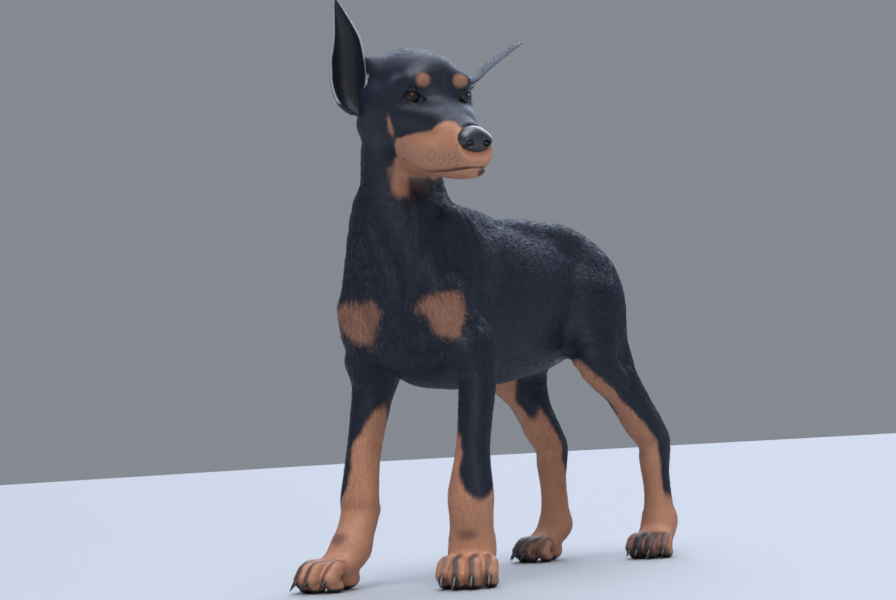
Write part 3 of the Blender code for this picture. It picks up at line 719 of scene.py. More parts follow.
ears = {
    # line from root to tip, the way the cup opens, how far it stays rolled toward the tip, the
    # turn of
    # the outer part about its front edge in degrees, and what is added to the tip's half width
    "left": {
        "line": ((32, 52, -4), (50, 60, -1), (74.5, 67, 8.5), (100, 73.5, 24), (144.6, 85, 50)),
        "opening": (0.549, -0.430, -0.715),
        "curl": 0.55,
        "twist": 30.0,
        "blunt": 1.8,
    },
    "right": {
        "line": ((-34, 56, -14), (-52.5, 62, -2), (-56, 65.5, 22), (-57, 69, 47), (-64, 80, 83)),
        "opening": (-0.51, -0.86, 0.10),
        "curl": 1.0,
        "twist": 0.0,
        "blunt": 0.0,
    },
    # share of the length, half width, half of the cup's arc in degrees, thickness, hollowness
    "rings": (
        (0.00, 12.5, 84, 4.0, -0.60),
        (0.10, 14.5, 86, 4.0, 0.20),
        (0.20, 16.5, 90, 3.4, 0.90),
        (0.34, 17.5, 86, 2.8, 1.00),
        (0.50, 16.5, 76, 2.4, 1.00),
        (0.65, 13.2, 68, 2.1, 1.00),
        (0.80, 8.3, 60, 1.8, 1.00),
        (0.93, 4.0, 50, 1.5, 1.00),
        (1.00, 1.2, 46, 1.0, 1.00),
    ),
    "count": 48,
    "arc": 19,  # points across each face of the sheet
    "coat": 0.0003,  # in metres
}


def earRings(side):
    ear = ears[side]
    path = splined(metres(ear["line"]), 12)
    run = np.insert(np.cumsum(lengths(np.diff(path, axis=0))), 0, 0)
    table = np.array(ears["rings"])
    table[:, (1, 3)] /= 1000

    def at(share):
        return Vector([np.interp(share * run[-1], run, column) for column in path.T])

    rings = []
    for share in np.linspace(0, 1, ears["count"]):
        _, half, arc, thick, hollow = (np.interp(share, table[:, 0], column) for column in table.T)
        start = min(share, 0.98)
        along = (at(start + 0.02) - at(start)).normalized()
        centre = at(share)
        forward = Vector(ear["opening"])
        forward = (forward - along * forward.dot(along)).normalized()
        across = along.cross(forward)
        half += ear["blunt"] / 1000 * np.interp(share, (0.75, 0.93), (0, 1))
        turn = Matrix.Rotation(
            math.radians(np.interp(share, (0.45, 0.9), (0, ear["twist"]))), 3, along
        )
        centre += (turn @ across - across) * half
        forward, across = turn @ forward, turn @ across
        arc = math.radians(arc * np.interp(share, (0.15, 0.45), (1, ear["curl"])))
        thick = max(thick - 2 * ears["coat"], 0.0006)
        radius = half / math.sin(arc) - ears["coat"]
        centre += forward * (radius * (0.27 + 0.73 * math.cos(arc)))
        angles = np.linspace(-arc, arc, ears["arc"])
        rim = thick / 2 / radius
        ring = [(radius, angle, 1.0) for angle in angles]
        ring.append((radius - thick / 2, arc + rim, (1 + hollow) / 2))
        for angle in angles[::-1]:
            ridge = 0.0008 * math.cos(5 * angle / arc) * (1 - share) if abs(angle) < 0.7 * arc else 0
            ring.append((radius - thick - max(ridge, 0), angle, hollow))
        ring.append((radius - thick / 2, -arc - rim, (1 + hollow) / 2))
        points = []
        for out, angle, deep in ring:
            points.append(
                centre + across * (out * math.sin(angle)) - forward * (out * math.cos(angle) * deep)
            )
        rings.append([tuple(headFrame @ point) for point in points])
    return rings


def treeOf(points):
    tree = KDTree(len(points))
    for i, point in enumerate(points):
        tree.insert(point, i)
    tree.balance()
    return tree


def joinEars():
    trees = {}
    for side in sides:
        ear = lofted("ear", [earRings(side)])
        trees[side] = treeOf(pointsOf(ear.data))
        edited(ear, lambda bm: bmesh.ops.recalc_face_normals(bm, faces=bm.faces))
        modifier = skin.modifiers.new("Union", "BOOLEAN")
        modifier.operation = "UNION"
        modifier.solver = "MANIFOLD"
        modifier.object = ear
        applied(skin)
        bpy.data.objects.remove(ear)
    print("ears joined:", len(skin.data.vertices), "points")
    return trees


def earSpots(points):
    # for each point on an ear: its share of the ear's length, and whether it is inside the cup or
    # on the rim
    share, inner, rim = np.zeros((3, len(points)))
    arc, around = ears["arc"], 2 * ears["arc"] + 2
    for side, tree in trees.items():
        middle = headPoint(ears[side]["line"][2])
        for i in np.flatnonzero(lengths(points - np.array(middle)) < 0.09):
            _, index, gap = tree.find(Vector(points[i]))
            if gap > 0.0016:
                continue
            row, spot = divmod(index, around)
            share[i] = row / (ears["count"] - 1)
            inner[i] = spot > arc and spot < around - 1
            rim[i] = (1 if spot in (arc, around - 1) else 0.4) * (
                min(abs(spot - arc), around - 1 - spot) < 2
            )
    return share, inner, rim


def softenSeam():
    # rounds the skin where it turns into an ear
    points = pointsOf(skin.data)
    close = np.zeros(len(points), bool)
    for side, tree in trees.items():
        root = headPoint(ears[side]["line"][1])
        near = np.flatnonzero(lengths(points - np.array(root)) < 0.035)
        gaps = np.array([tree.find(Vector(points[i]))[2] for i in near])
        field = skinField(points[near], headMasses())
        close[near[(gaps < 0.0034) & (np.abs(field) < 0.0034)]] = True
    eased(skin, close, 12)


trees = joinEars()
softenSeam()


# Eyes, nose and nails

origin = Vector(metres(puppy["origin"]))


def shifted(obj):
    obj.data.transform(Matrix.Translation(-origin))
    obj.data.polygons.foreach_set("use_smooth", [True] * len(obj.data.polygons))
    return obj


def makeEye(side):
    s = sides[side]
    turn = headFrame.to_3x3() @ rotation(((eye["outward"] - 5) * s, 0, 0))
    middle = headPoint((eye["spacing"] / 2 * s, eye["set"], 0))
    degrees = np.linspace(2, 178, 60)
    rings = []
    for polar in np.radians(degrees):
        bulge = 0.6 * smooth(-polar, -math.radians(44), -math.radians(20))
        radius = (eye["radius"] - 0.2 + bulge) / 1000
        ring = []
        for a in np.arange(48) * math.tau / 48:
            off = Vector(
                (math.sin(polar) * math.cos(a), -math.cos(polar), math.sin(polar) * math.sin(a))
            )
            ring.append(tuple(middle + turn @ off * radius))
        rings.append(ring)
    ball = lofted("eye_ball_" + side, [rings])
    ball.data.attributes.new("polar", "FLOAT", "POINT").data.foreach_set(
        "value", np.repeat(degrees, 48)
    )
    return shifted(ball)


def noseMasses():
    slit = ((8.5, -77.2, -36.8), (12.5, -74, -38.2), (15.2, -69, -36.2), (15.8, -64.5, -30))
    masses = [oval((0, -66.5, -34), (15, 10, 11.8), 4), oval((0, -63.5, -29), (12, 9.5, 8), 4)]
    masses += bothSides([
        oval((9.2, -68, -33.5), (7.6, 8.5, 7.8), 3),
        oval((8, -77, -35.2), (3.8, 6.2, 2.9), 1.2, (-20, 0, 14), True),
        tube([(*place, 0.8, 3) for place in slit], 1, (0, 0, 1), carve=True),
    ])
    masses.append(oval((0, -77.5, -43), (0.7, 5, 6), 0.8, carve=True))
    return [moved(mass, headFrame) for mass in masses]


def makeNose():
    masses = noseMasses()
    nose = lofted("nose_pad", [massRings(mass, 24) for mass in masses if not mass["carve"]])
    remeshed(nose, 0.7)
    for _ in range(6):
        points = pointsOf(nose.data)
        move = np.clip(skinField(points, masses) + 0.0002, -0.002, 0.002)
        setPoints(nose.data, points - 0.8 * move[:, None] * normalsOf(nose.data))
    return shifted(nose)


nail = {"length": 8.5, "thick": 3.4, "ahead": 8.5, "height": 11.5, "slope": 0.45, "droop": 4.0}


def nailRings(place, size, toe):
    across, reach = (value * size for value in toes[toe])
    rings = []
    for share in (-0.35, -0.1, 0.05, 0.2, 0.4, 0.6, 0.78, 0.92, 1.0):
        along = share * nail["length"] * size
        radius = nail["thick"] * size * math.sqrt(max(0.03, 1 - max(share, 0)))
        y = reach - nail["ahead"] * size - along
        z = nail["height"] * size - nail["slope"] * along - nail["droop"] * max(share, 0) ** 2 * size
        ring = []
        for a in np.arange(12) * math.tau / 12:
            x = across * 1.10 + 0.8 * radius * math.cos(a)
            rise = radius * math.sin(a)
            ring.append(tuple(footPoint(place, x, y + 0.35 * rise, z + rise)))
        rings.append(ring)
    return rings


def makeNails(side):
    made = []
    for kind, places, size in feet:
        for toe in range(4):
            name = f"{kind}_{side}_{toe + 1}"
            made.append((shifted(lofted("claw_" + name, [nailRings(places[side], size, toe)])), "nail_" + name))
    return made


eyeballs = {side: makeEye(side) for side in sides}
nosePad = makeNose()
claws = makeNails("left") + makeNails("right")
print("eyes, nose and claws made")


# Markings: share of tan, of bare dark skin, of pad, and a tone. Points are in millimetres here.


def wobble(points, size):
    x, y, z = (points / size).T
    waves = np.sin(x * 1.3 + 2.1 * np.sin(y * 0.9)) + np.sin(y * 1.7 + 1.7 * np.sin(z * 1.1 + 2))
    return (waves + np.sin(z * 1.5 + 1.9 * np.sin(x * 0.8 + 1))) / 3


def blob(points, centre, half, soft=0.25, turn=(0, 0, 0)):
    off = (points - np.array(centre)) @ np.array(rotation(turn))
    return smooth(-lengths(off / np.array(half)), -1 - soft, -1 + soft)


def legSplit(points, axisLine):
    # how far outward and forward of the leg's own line
    x, y, z = np.array(axisLine[::-1], float).T
    height = np.clip(points[:, 2], z[0], z[-1])
    outward = (points[:, 0] - np.interp(height, z, x)) * np.sign(x[-1])
    return outward, np.interp(height, z, y) - points[:, 1]


def tanOfHead(points, head):
    x, y, z = np.abs(head[:, 0]), head[:, 1], head[:, 2]
    onLeft = head[:, 0] >= 0
    jitter = wobble(points, 3)
    top = np.interp(
        y, (-75, -58, -45, -38.6, -34, -14, 4, 12), (-26, -21.5, -18, -21.5, -27, -31.2, -37, -40)
    )
    back = np.interp(z, (-92, -75, -66, -58, -48, -38), (20, 25.5, 25.5, 22, 10, 6))
    muzzle = smooth(top - z + jitter, -1.4, 1.4) * smooth(back - y + jitter, -2, 2) * smooth(
        z, -78, -70
    )
    folded = np.column_stack([x, y, z])
    # throat: a strip on each side that runs down from the jaw
    low = np.where(onLeft[:, None], [[21.5, 24, -72]], [[21.5, 18, -74]])
    strip = blob(folded - low, (0, 0, 0), (10, 11, 20), 0.35) * smooth(z, -94, -86)
    strip *= np.where(onLeft, smooth(z, -79, -74), 1)
    return np.maximum.reduce([
        muzzle,
        strip,
        # the tan under the jaw at a low share: a painted shade where the jaw shadows the throat
        0.3 * blob(head, (0, 12, -78), (20, 12, 8), 0.5),
        0.8 * blob(folded, (19, -7, 15), (7, 12, 5.7), 0.35),  # over the eyes
        0.8 * blob(folded, (42, 7.8, -27), (7, 1.8, 9.5), 0.4),  # on the cheeks
    ])


def whiskerDots(head):
    # rows of dark spots on the upper lip, one mole on the cheek, one dark spot at the chin
    folded = np.column_stack([np.abs(head[:, 0]), head[:, 1], head[:, 2]])
    dark = 0.7 * blob(folded, (29.7, 4.3, -52.1), (1.4, 1.6, 1.6), 0.4)
    for row in range(4):
        for k in range(6):
            y = -37 - 5.8 * k - 1.8 * (row % 2)
            z = -42.5 - 3.4 * row - k
            near = (np.abs(head[:, 1] - y) < 2) & (np.abs(head[:, 2] - z) < 2)
            gap = np.hypot(head[near, 1] - y, head[near, 2] - z)
            dark[near] = np.maximum(dark[near], 0.75 * smooth(-gap, -1, -0.4))
    return np.maximum(dark, 0.9 * blob(head, (6, -75, -61), (5.2, 6, 4), 0.4))


# Two patches on the front of the chest, each between a top and a bottom line, as seen from its left
# front
chestPatches = (
    (
        (27.2, 37.5, 41.5, 50, 58.7, 66.9, 73),
        (249, 257, 259, 260.5, 261.2, 262, 260),
        (250, 240, 230.7, 223.9, 218.1, 220.3, 240),
    ),
    ((-48, -40, -27.7, -13.6, -8.4, -2.4), (262, 262, 261, 259.5, 258.5, 248), (246, 236, 222.5, 221.8, 234.2, 248)),
)


def tanOfChest(points, jitter):
    x, y, z = points.T
    across = 0.743 * x + 0.669 * y + jitter
    tan = np.zeros(len(points))
    for spots, top, low in chestPatches:
        patch = smooth(np.interp(across, spots, top) - z + jitter, -5, 5)
        patch *= smooth(z - np.interp(across, spots, low) + jitter, -3, 5)
        patch *= smooth(across - spots[0], -2, 3) * smooth(spots[-1] - across, -3, 3)
        tan = np.maximum(tan, 0.65 * patch)
    return tan * ((z > 200) & (z < 280)) * smooth(np.where(x < 0, 10, 45) - y + jitter, -3, 3)


def tanOfForeleg(points, jitter, side):
    s, z = sides[side], points[:, 2]
    elbowY, wristY = forelegs[side]
    out, ahead = legSplit(points, [
        (58 * s, elbowY + 5, 188), (60 * s, elbowY - 3, 150),
        (60.3 * s, (elbowY + wristY) / 2, 118),
        (60.5 * s, wristY, 82), (60.5 * s, wristY, 60),
    ])
    topEdge = np.interp(-out, (0, 8, 16), (130, 143, 168))
    bend = (np.degrees(np.arctan2(out, ahead)) - 70) / 50
    lowEdge = np.minimum(76 + 10 * bend**2, 110)
    black = smooth(out + jitter, -2.5, 2.5) * smooth(z - lowEdge + jitter, -4, 4)
    near = (np.hypot(out, ahead) < 45) & (np.sign(points[:, 0]) == s) & (z < 200)
    return near * (1 - black) * smooth(topEdge - z + jitter, -4, 4)


def tanOfHindleg(points, jitter, side):
    s, z = sides[side], points[:, 2]
    kneeY, hockY = hindlegs[side]
    x, y = hindfeet[side][:2]
    out, ahead = legSplit(points, [
        (47 * s, kneeY + 10, 215), (54 * s, kneeY, 196), (54 * s, (kneeY + hockY) / 2, 155),
        (54 * s, hockY - 8, 118), ((54 * s + x) / 2, (hockY + y) / 2, 70), (x, y + 18, 36),
    ])
    angle = np.degrees(np.arctan2(out, ahead)) + 2.5 * jitter  # 0 in front, 90 outward, 180 behind
    front = smooth(
        np.interp(z, (55, 80, 110, 135, 176, 205), (100, 82, 63, 60, 38, 4)) - angle, -8, 8
    )
    inside = smooth(angle - np.interp(z, (85, 105, 150, 180), (-165, -118, -108, -112)), -10, 10)
    wedge = blob(points, (40 * s, (kneeY + hockY) / 2 - 18, 178), (16, 14, 34), 0.2, (0, 20, 0))
    leg = front * inside * (1 - wedge * smooth(-out, 4, 8))
    leg = np.maximum(leg, smooth(60 - z + jitter, -6, 6)) * smooth(203 - z + jitter, -5, 4)
    near = (np.hypot(out, ahead) < 38) & (np.sign(points[:, 0]) == s) & (z < 205) & (
        points[:, 1] > 180
    )
    return near * leg


def tanOfBody(points):
    jitter = 2.5 * wobble(points, 6)
    shares = [tanOfChest(points, jitter), smooth(58 - points[:, 2] + jitter, -4, 4)]
    for side in sides:
        shares += [tanOfForeleg(points, jitter, side), tanOfHindleg(points, jitter, side)]
    return np.maximum.reduce(shares)


footMarks = {
    "fore": (2.6, 0.85),  # the stripes' half width and strength
    "hind": (5.6, 0.95),
    "toes": (0.6, 1.0, 0.9, 0.7),  # each stripe's share of that
    # a darker round spot on the front of each forefoot's pastern
    "pasternSpot": (0.55, 46),  # strength and height
}


def darkOfFeet(points):
    dark = np.zeros(len(points))
    for kind, places, size in feet:
        wide, strength = footMarks[kind]
        for place in places.values():
            back = np.array(footFrame(place).inverted())
            x, y, z = ((points / 1000 @ back[:3, :3].T + back[:3, 3]) * 1000).T
            near = (np.abs(x) < 40) & (y < 12) & (y > -50) & (z < 45)
            near = near * smooth(28.5 * size - z, -1.5, 1.5)
            for (across, reach), share in zip(toes, footMarks["toes"]):
                off = np.abs(x - across * 1.03 * size + 0.6 * np.sin(y * 0.4))
                band = wide * (0.6 + 0.4 * share)
                stripe = smooth(-off, -band - 1.4, -band + 0.8) * smooth(-y, -3, 4 - reach * 0.3)
                dark = np.maximum(dark, strength * share * stripe * near)
    # a darker round spot on the front of each forefoot's pastern
    share, height = footMarks["pasternSpot"]
    for place in forefeet.values():
        spot = millimetres(footPoint(place, 0, place[3] - 14, height))
        dark = np.maximum(dark, share * blob(points, spot, (9.5, 10, 5), 0.5))
    return dark


def heelPads(points):
    pad = np.zeros(len(points))
    for _, places, size in feet:
        for place in places.values():
            heel = millimetres(footPoint(place, 0, 22 * size, 3))
            pad = np.maximum(pad, blob(points, heel, (17 * size, 8 * size, 10.5), 0.15))
    return pad


def paintOf(places):
    points, head = places * 1000, inHead(places)
    x, y, z = head.T
    onHead = smooth(-y, -75, -55) * smooth(z, -110, -95) > 0.2
    tan = np.maximum(tanOfHead(points, head) * onHead, tanOfBody(points))
    tan *= (1 - darkOfFeet(points)) * (1 - whiskerDots(head) * onHead)
    pad = np.maximum(smooth(-points[:, 2], -5, -2.8), heelPads(points))
    eyeGap = lengths(np.column_stack([np.abs(x) - eye["spacing"] / 2, y - eye["set"], z]))
    lids = smooth(-eyeGap, -eye["radius"] - 2.6, -eye["radius"] - 1.6)
    lipLine = np.interp(y, (-81, -74, -50, -25, -8, 2), (-54.5, -56, -60.8, -64.5, -61.5, -54.5))
    lips = smooth(-np.abs(z - lipLine), -1.6, -0.4) * ((y < 3) & (y > -90))
    return tan, np.maximum(lids, 0.6 * lips), pad


def paintAll(mesh, points, tone, strayed):
    # the same markings for the skin and for each tuft, read at the strayed points
    tan, bare, pad = paintOf(strayed)
    share, inner, rim = earSpots(points)
    # the fourth share is the painted highlight along the ears' edges, where the thin edges catch light
    values = np.column_stack(
        [tan * (share == 0), np.maximum(bare, inner * (share > 0.05)), pad, rim * (share > 0.20)]
    )
    layer = mesh.color_attributes.new("paint", "FLOAT_COLOR", "POINT")
    layer.data.foreach_set("color", values.astype(np.float32).ravel())
    mesh.attributes.new("tone", "FLOAT", "POINT").data.foreach_set("value", tone.astype(np.float32))
    return values


bareSpots = pointsOf(skin.data)
paint = paintAll(skin.data, bareSpots, np.full(len(bareSpots), 0.5), bareSpots)
print("markings painted")


# Coat: the way it lies and its length in millimetres, at places down the puppy's left side

lie = (
    # place, direction, length
    ((0, 85, 345), (0, 0.9, -0.35), 6.5), ((0, 140, 330), (0, 1, -0.1), 6),
    ((0, 210, 330), (0, 1, -0.1), 6),
    ((0, 270, 325), (0, 1, -0.3), 6), ((0, 320, 290), (0, 0.6, -1), 6),
    ((50, 80, 290), (0, 0.9, -0.7), 6),
    ((55, 130, 250), (0, 1, -0.4), 6), ((50, 190, 240), (0, 1, -0.35), 6),
    ((55, 250, 280), (0, 0.8, -0.6), 6),
    ((60, 260, 220), (0, 0.35, -1), 6), ((50, 310, 220), (-0.2, 0.5, -1), 8),
    ((0, 80, 180), (0, 1, 0.1), 5),
    ((0, 150, 185), (0, 1, 0.1), 4.5), ((0, 220, 215), (0, 1, 0.2), 3.5),
    ((45, 20, 310), (0.2, 0.2, -1), 6.5),
    ((55, 30, 250), (0.25, 0.5, -1), 5.5), ((0, 5, 300), (0, 0, -1), 7),
    ((35, -10, 265), (0.6, 0.2, -0.8), 7),
    ((10, -10, 240), (-0.4, 0, -1), 7), ((15, 10, 200), (-0.3, 0.7, -0.5), 6),
    ((0, -5, 370), (0, 0.15, -1), 5.5),
    ((40, 35, 370), (0, 0.35, -1), 6), ((0, 80, 390), (0, 0.5, -1), 6.5),
    ((60, 35, 190), (0.05, 0.35, -1), 4.5),
    ((60, 55, 150), (0, 0.4, -1), 5.5), ((60, 10, 130), (0, 0.05, -1), 4),
    ((60, 15, 70), (0, -0.1, -1), 3.2),
    ((60, -10, 30), (0, -1, -0.6), 2.6), ((60, 240, 180), (0, 0.35, -1), 5),
    ((55, 300, 150), (0, 0.5, -1), 6),
    ((55, 330, 90), (0, 0.05, -1), 4), ((55, 300, 60), (0, -0.2, -1), 3.2),
    ((55, 285, 30), (0, -1, -0.6), 2.6),
)
headLie = (  # in the head's own frame
    ((0, -80, -45), (0.4, 0.6, -0.6), 1.5), ((15, -65, -45), (0.1, 1, -0.4), 1.7),
    ((0, -55, -16), (0.1, 1, 0.2), 1.6),
    ((20, -35, -45), (0, 1, -0.3), 1.9), ((0, -50, -70), (0, 1, -0.1), 2),
    ((10, -25, -10), (0.4, 1, 0.4), 2),
    ((30, -5, -30), (0, 1, -0.35), 2.4), ((0, -10, 22), (0, 0.7, 1), 2.2),
    ((30, 10, 15), (0.4, 1, 0.2), 2.4),
    ((40, 30, -10), (0, 1, -0.2), 3), ((0, 30, 43), (0, 1, 0.1), 3), ((25, 45, 35), (0.4, 1, 0), 3),
    ((0, 90, 20), (0, 0.7, -1), 4), ((30, 40, -50), (0, 1, -0.7), 3.5),
    ((0, 10, -75), (0, 1, -0.4), 3.5),
)
coat = {
    "seed": 11,
    "reach": 28,  # how far a place's lie is felt
    "spacing": (0.70, 0.195),  # its least value, and its share of the length
    "width": (0.14, 0.060),
    "lift": (3.0, 11.0),  # degrees
    "ridge": 0.60,  # how far a tuft's own form turns its light from the skin's
    "stray": 1.2,  # how far a marking's edge is feathered
    "straying": (0.6, 2.2, 1.0),  # a share of that on the head, the body and the legs
    "turn": 13.0,  # degrees either way
    "long": (0.75, 1.2),  # each tuft's share of the length
    "sink": 0.5,
    "ears": 2.4,  # length
}


def lieTable():
    rows = []
    for table, matrix in ((lie, Matrix()), (headLie, headFrame)):
        turned = np.array(matrix.to_3x3())
        for place, way, long in table:
            for s in (1, -1) if place[0] else (1,):
                spot = np.array(matrix @ Vector(metres(place) * (s, 1, 1)))
                rows.append((spot, turned @ (unit(np.array([way]))[0] * (s, 1, 1)), long))
    for side in sides:
        line = [headPoint(place) for place in ears[side]["line"]]
        for start, end in zip(line[1:], line[2:]):
            rows.append(
                (np.array((start + end) / 2), np.array((end - start).normalized()), coat["ears"])
            )
    return rows


def lieOf(points):
    ways = np.zeros((len(points), 3))
    long, total = np.zeros((2, len(points)))
    for place, way, size in lieTable():
        weight = np.exp(-0.5 * (lengths(points - place) / (coat["reach"] / 1000)) ** 2) + 1e-9
        ways += weight[:, None] * way
        long += weight * size / 1000
        total += weight
    return ways, long / total


def tuftRoots(rng):
    # places spread over the skin, closer where the coat is shorter
    mesh = skin.data
    mesh.calc_loop_triangles()
    corners = read(mesh.loop_triangles, "vertices", len(mesh.loop_triangles), 3, np.int32)
    points, normals = pointsOf(mesh), normalsOf(mesh)
    a, b, c = points[corners].swapaxes(0, 1)
    least, share = metres(coat["spacing"])
    spacing = least + 1000 * share * lieOf(points[corners].mean(axis=1))[1]
    count = np.floor(lengths(np.cross(b - a, c - a)) / 2 / spacing**2 + rng.random(len(corners))).astype(int)
    hairless = paint[:, 1:].max(axis=1)[corners].max(axis=1) > 0.3
    count[hairless] = 0
    chosen = corners[np.repeat(np.arange(len(corners)), count)]
    a, b = rng.random((2, len(chosen)))
    flipped = a + b > 1
    a, b = np.where(flipped, 1 - a, a), np.where(flipped, 1 - b, b)
    shares = np.column_stack([1 - a - b, a, b])[:, :, None]
    return (points[chosen] * shares).sum(axis=1), unit((normals[chosen] * shares).sum(axis=1))


def regionOf(points):
    # 0 face, 1 skull, 2 ears, 3 neck, 4 chest, 5 loin, 6 rump, 7 forelegs, 8 hindlegs
    _, y, z = points.T * 1000
    region = np.where(y < 110, 4, np.where(y < 215, 5, 6))
    region = np.where((z > 285) & (y < 100), 3, region)
    region = np.where(z < 180, np.where(y < 160, 7, 8), region)
    region = np.where(nearHead(points), np.where(inHead(points)[:, 1] < 8, 0, 1), region)
    return np.where(earSpots(points)[0] > 0.12, 2, region)


def chartOf(points, region):
    # an unwrap round each region's own length, in a three by three grid
    hx, hy, hz = inHead(points).T
    x, y, z = points.T * 1000
    parts = [region < 3, region == 3, region < 7]
    around = np.select(
        parts, [np.arctan2(hx, hz + 20), np.arctan2(x - 10, 45 - y), np.arctan2(x, z - 260)]
    )
    side = np.sign(x)
    legLine = np.where(region == 7, 20, 290)
    around = np.where(
        region > 6, np.arctan2(x - 57 * side, y - legLine) / 2 + side * math.pi / 2, around
    )
    along = np.select(parts, [(hy + 100) / 240, (z - 240) / 200, (y + 60) / 450], z / 250)
    spread = np.column_stack([around / math.tau + 0.5, np.clip(along, 0, 1)]) * 0.94 + 0.03
    return (np.column_stack([region % 3, region // 3]) + spread) / 3


tuftFaces = (
    (0, 2, 1), (0, 1, 4), (0, 4, 3), (1, 2, 5), (1, 5, 4), (2, 0, 3), (2, 3, 5), (3, 4, 6),
    (4, 5, 6), (5, 3, 6)
)
tuftChart = ((-0.5, -0.5), (0.5, -0.5), (0, -0.4), (-0.4, 0), (0.4, 0), (0, 0.1), (0, 0.5))


def tufts(roots, normals, ways, long, rng):
    # seven points a tuft, a root ring and a middle ring of three and a tip, and the way each faces
    count = len(roots)
    ways = unit(ways - normals * np.einsum("ij,ij->i", ways, normals)[:, None])
    turn = np.radians(rng.normal(0, coat["turn"], count))[:, None]
    ways = ways * np.cos(turn) + np.cross(normals, ways) * np.sin(turn)
    across = np.cross(normals, ways)
    long = (long * rng.uniform(*coat["long"], count))[:, None]
    least, share = coat["width"]
    half = (least / 1000 + share * long) * 0.5
    ridge = normals * half * 0.9
    lift = normals * np.tan(np.radians(rng.uniform(*coat["lift"], count)))[:, None] * long
    base = roots - normals * (coat["sink"] / 1000)
    middle = roots + ways * long * 0.5 + lift * 0.5
    points = [base - across * half, base + across * half, base + ridge + ways * half]
    points += [middle - across * half * 0.8, middle + across * half * 0.8, middle + ridge]
    points.append(roots + ways * long + lift * 0.75)
    facing = [normals + coat["ridge"] * way for way in (-across, across, normals, -across, across, normals, ways)]
    return np.stack(points, axis=1), np.stack(facing, axis=1)


def tuftMesh(name, points, facing, charts):
    count = len(points)
    mesh = bpy.data.meshes.new(name)
    faces = (np.arange(count)[:, None, None] * 7 + np.array(tuftFaces)).reshape(-1)
    mesh.vertices.add(count * 7)
    mesh.vertices.foreach_set("co", (points - np.array(origin)).astype(np.float32).ravel())
    mesh.loops.add(len(faces))
    mesh.loops.foreach_set("vertex_index", faces.astype(np.int32))
    mesh.polygons.add(len(faces) // 3)
    mesh.polygons.foreach_set("loop_start", np.arange(0, len(faces), 3, dtype=np.int32))
    spots = (charts[:, None, :] + np.array(tuftChart) * 0.003).reshape(-1, 2)
    mesh.uv_layers.new(name="OFBake").data.foreach_set(
        "uv", spots[faces].astype(np.float32).ravel()
    )
    mesh.update(calc_edges=True)
    mesh.normals_split_custom_set_from_vertices(unit(facing.reshape(-1, 3)).tolist())
    return added(name, mesh)


def makeCoat():
    rng = np.random.default_rng(coat["seed"])
    roots, normals = tuftRoots(rng)
    ways, long = lieOf(roots)
    region = regionOf(roots)
    charts = chartOf(roots, region)
    points, facing = tufts(roots, normals, ways, long, rng)
    tone = rng.random(len(roots)) ** 2
    wide = np.array(coat["straying"])[np.digitize(region, (2, 7))][:, None]
    strayed = roots + rng.normal(0, coat["stray"] / 1000, roots.shape) * wide
    made = []
    names = [
        (i, name, 0) for i,
        name in enumerate(("face", "skull", "ears", "neck", "chest", "loin", "rump"))
    ]
    names += [
        (i, f"{leg}_{side}", s) for i, leg in ((7, "foreleg"), (8, "hindleg")) for side,
        s in sides.items()
    ]
    for i, name, s in names:
        chosen = np.flatnonzero((region == i) & (roots[:, 0] * s >= 0))
        piece = tuftMesh("coat_" + name, points[chosen], facing[chosen], charts[chosen])
        where, painted, tones = (
            np.repeat(values[chosen], 7, axis=0) for values in (roots, strayed, tone)
        )
        paintAll(piece.data, where, tones, painted)
        made.append(piece)
        print("coat", name, len(chosen), "tufts")
    return made


coatPieces = makeCoat()
shifted(skin)


# Materials


def hexColour(text):
    # an sRGB hex value as linear red, green, blue
    parts = [int(text[i : i + 2], 16) / 255 for i in (1, 3, 5)]
    return (*[c / 12.92 if c <= 0.04045 else ((c + 0.055) / 1.055) ** 2.4 for c in parts], 1.0)


def addNode(tree, kind, links=(), **settings):
    # one node with its settings; links are (its input, node, that node's output)
    node = tree.nodes.new("ShaderNode" + kind)
    for name, value in settings.items():
        if name.startswith("in_"):
            key = name[3:].replace("_", " ")
            node.inputs[int(key) if key.isdigit() else key].default_value = value
        else:
            setattr(node, name, value)
    for socket, other, output in links:
        tree.links.new(other.outputs[output], node.inputs[socket])
    return node


def newMaterial(name, **values):
    material = bpy.data.materials.new(name)
    material.use_nodes = True
    shader = material.node_tree.nodes["Principled BSDF"]
    for key, value in values.items():
        value = hexColour(value) if isinstance(value, str) else value
        shader.inputs[key.replace("_", " ")].default_value = value
    return material, material.node_tree, shader


def mixed(tree, factor, factorOut, a, b):
    # a blend of two colours, each a hex value or a node that mixes two
    node = addNode(tree, "Mix", [("Factor", factor, factorOut)], data_type="RGBA")
    for key, value in ((6, a), (7, b)):
        if isinstance(value, str):
            node.inputs[key].default_value = hexColour(value)
        else:
            tree.links.new(value.outputs[2], node.inputs[key])
    return node


coatLook = {
    "black": ("#030407", "#232d40"),  # dark and light tufts
    "tan": ("#ab6d51", "#d8a07c"),
    "bareSkin": "#14171f",
    "pad": "#15161a",
    # pale colour along the ears' edges: the edges' own pale skin, lightened into a painted highlight where the thin
    # edges catch light
    "earEdgeHighlight": "#c9ccd3",
    "hairMm": 0.7,
    "surface": {
        "Roughness": 0.46,
        "IOR": 1.55,
        "Specular_IOR_Level": 0.35,
        "Sheen_Weight": 0.10,
        "Sheen_Roughness": 0.40,
        "Sheen_Tint": "#9fb4dc",
    },
}


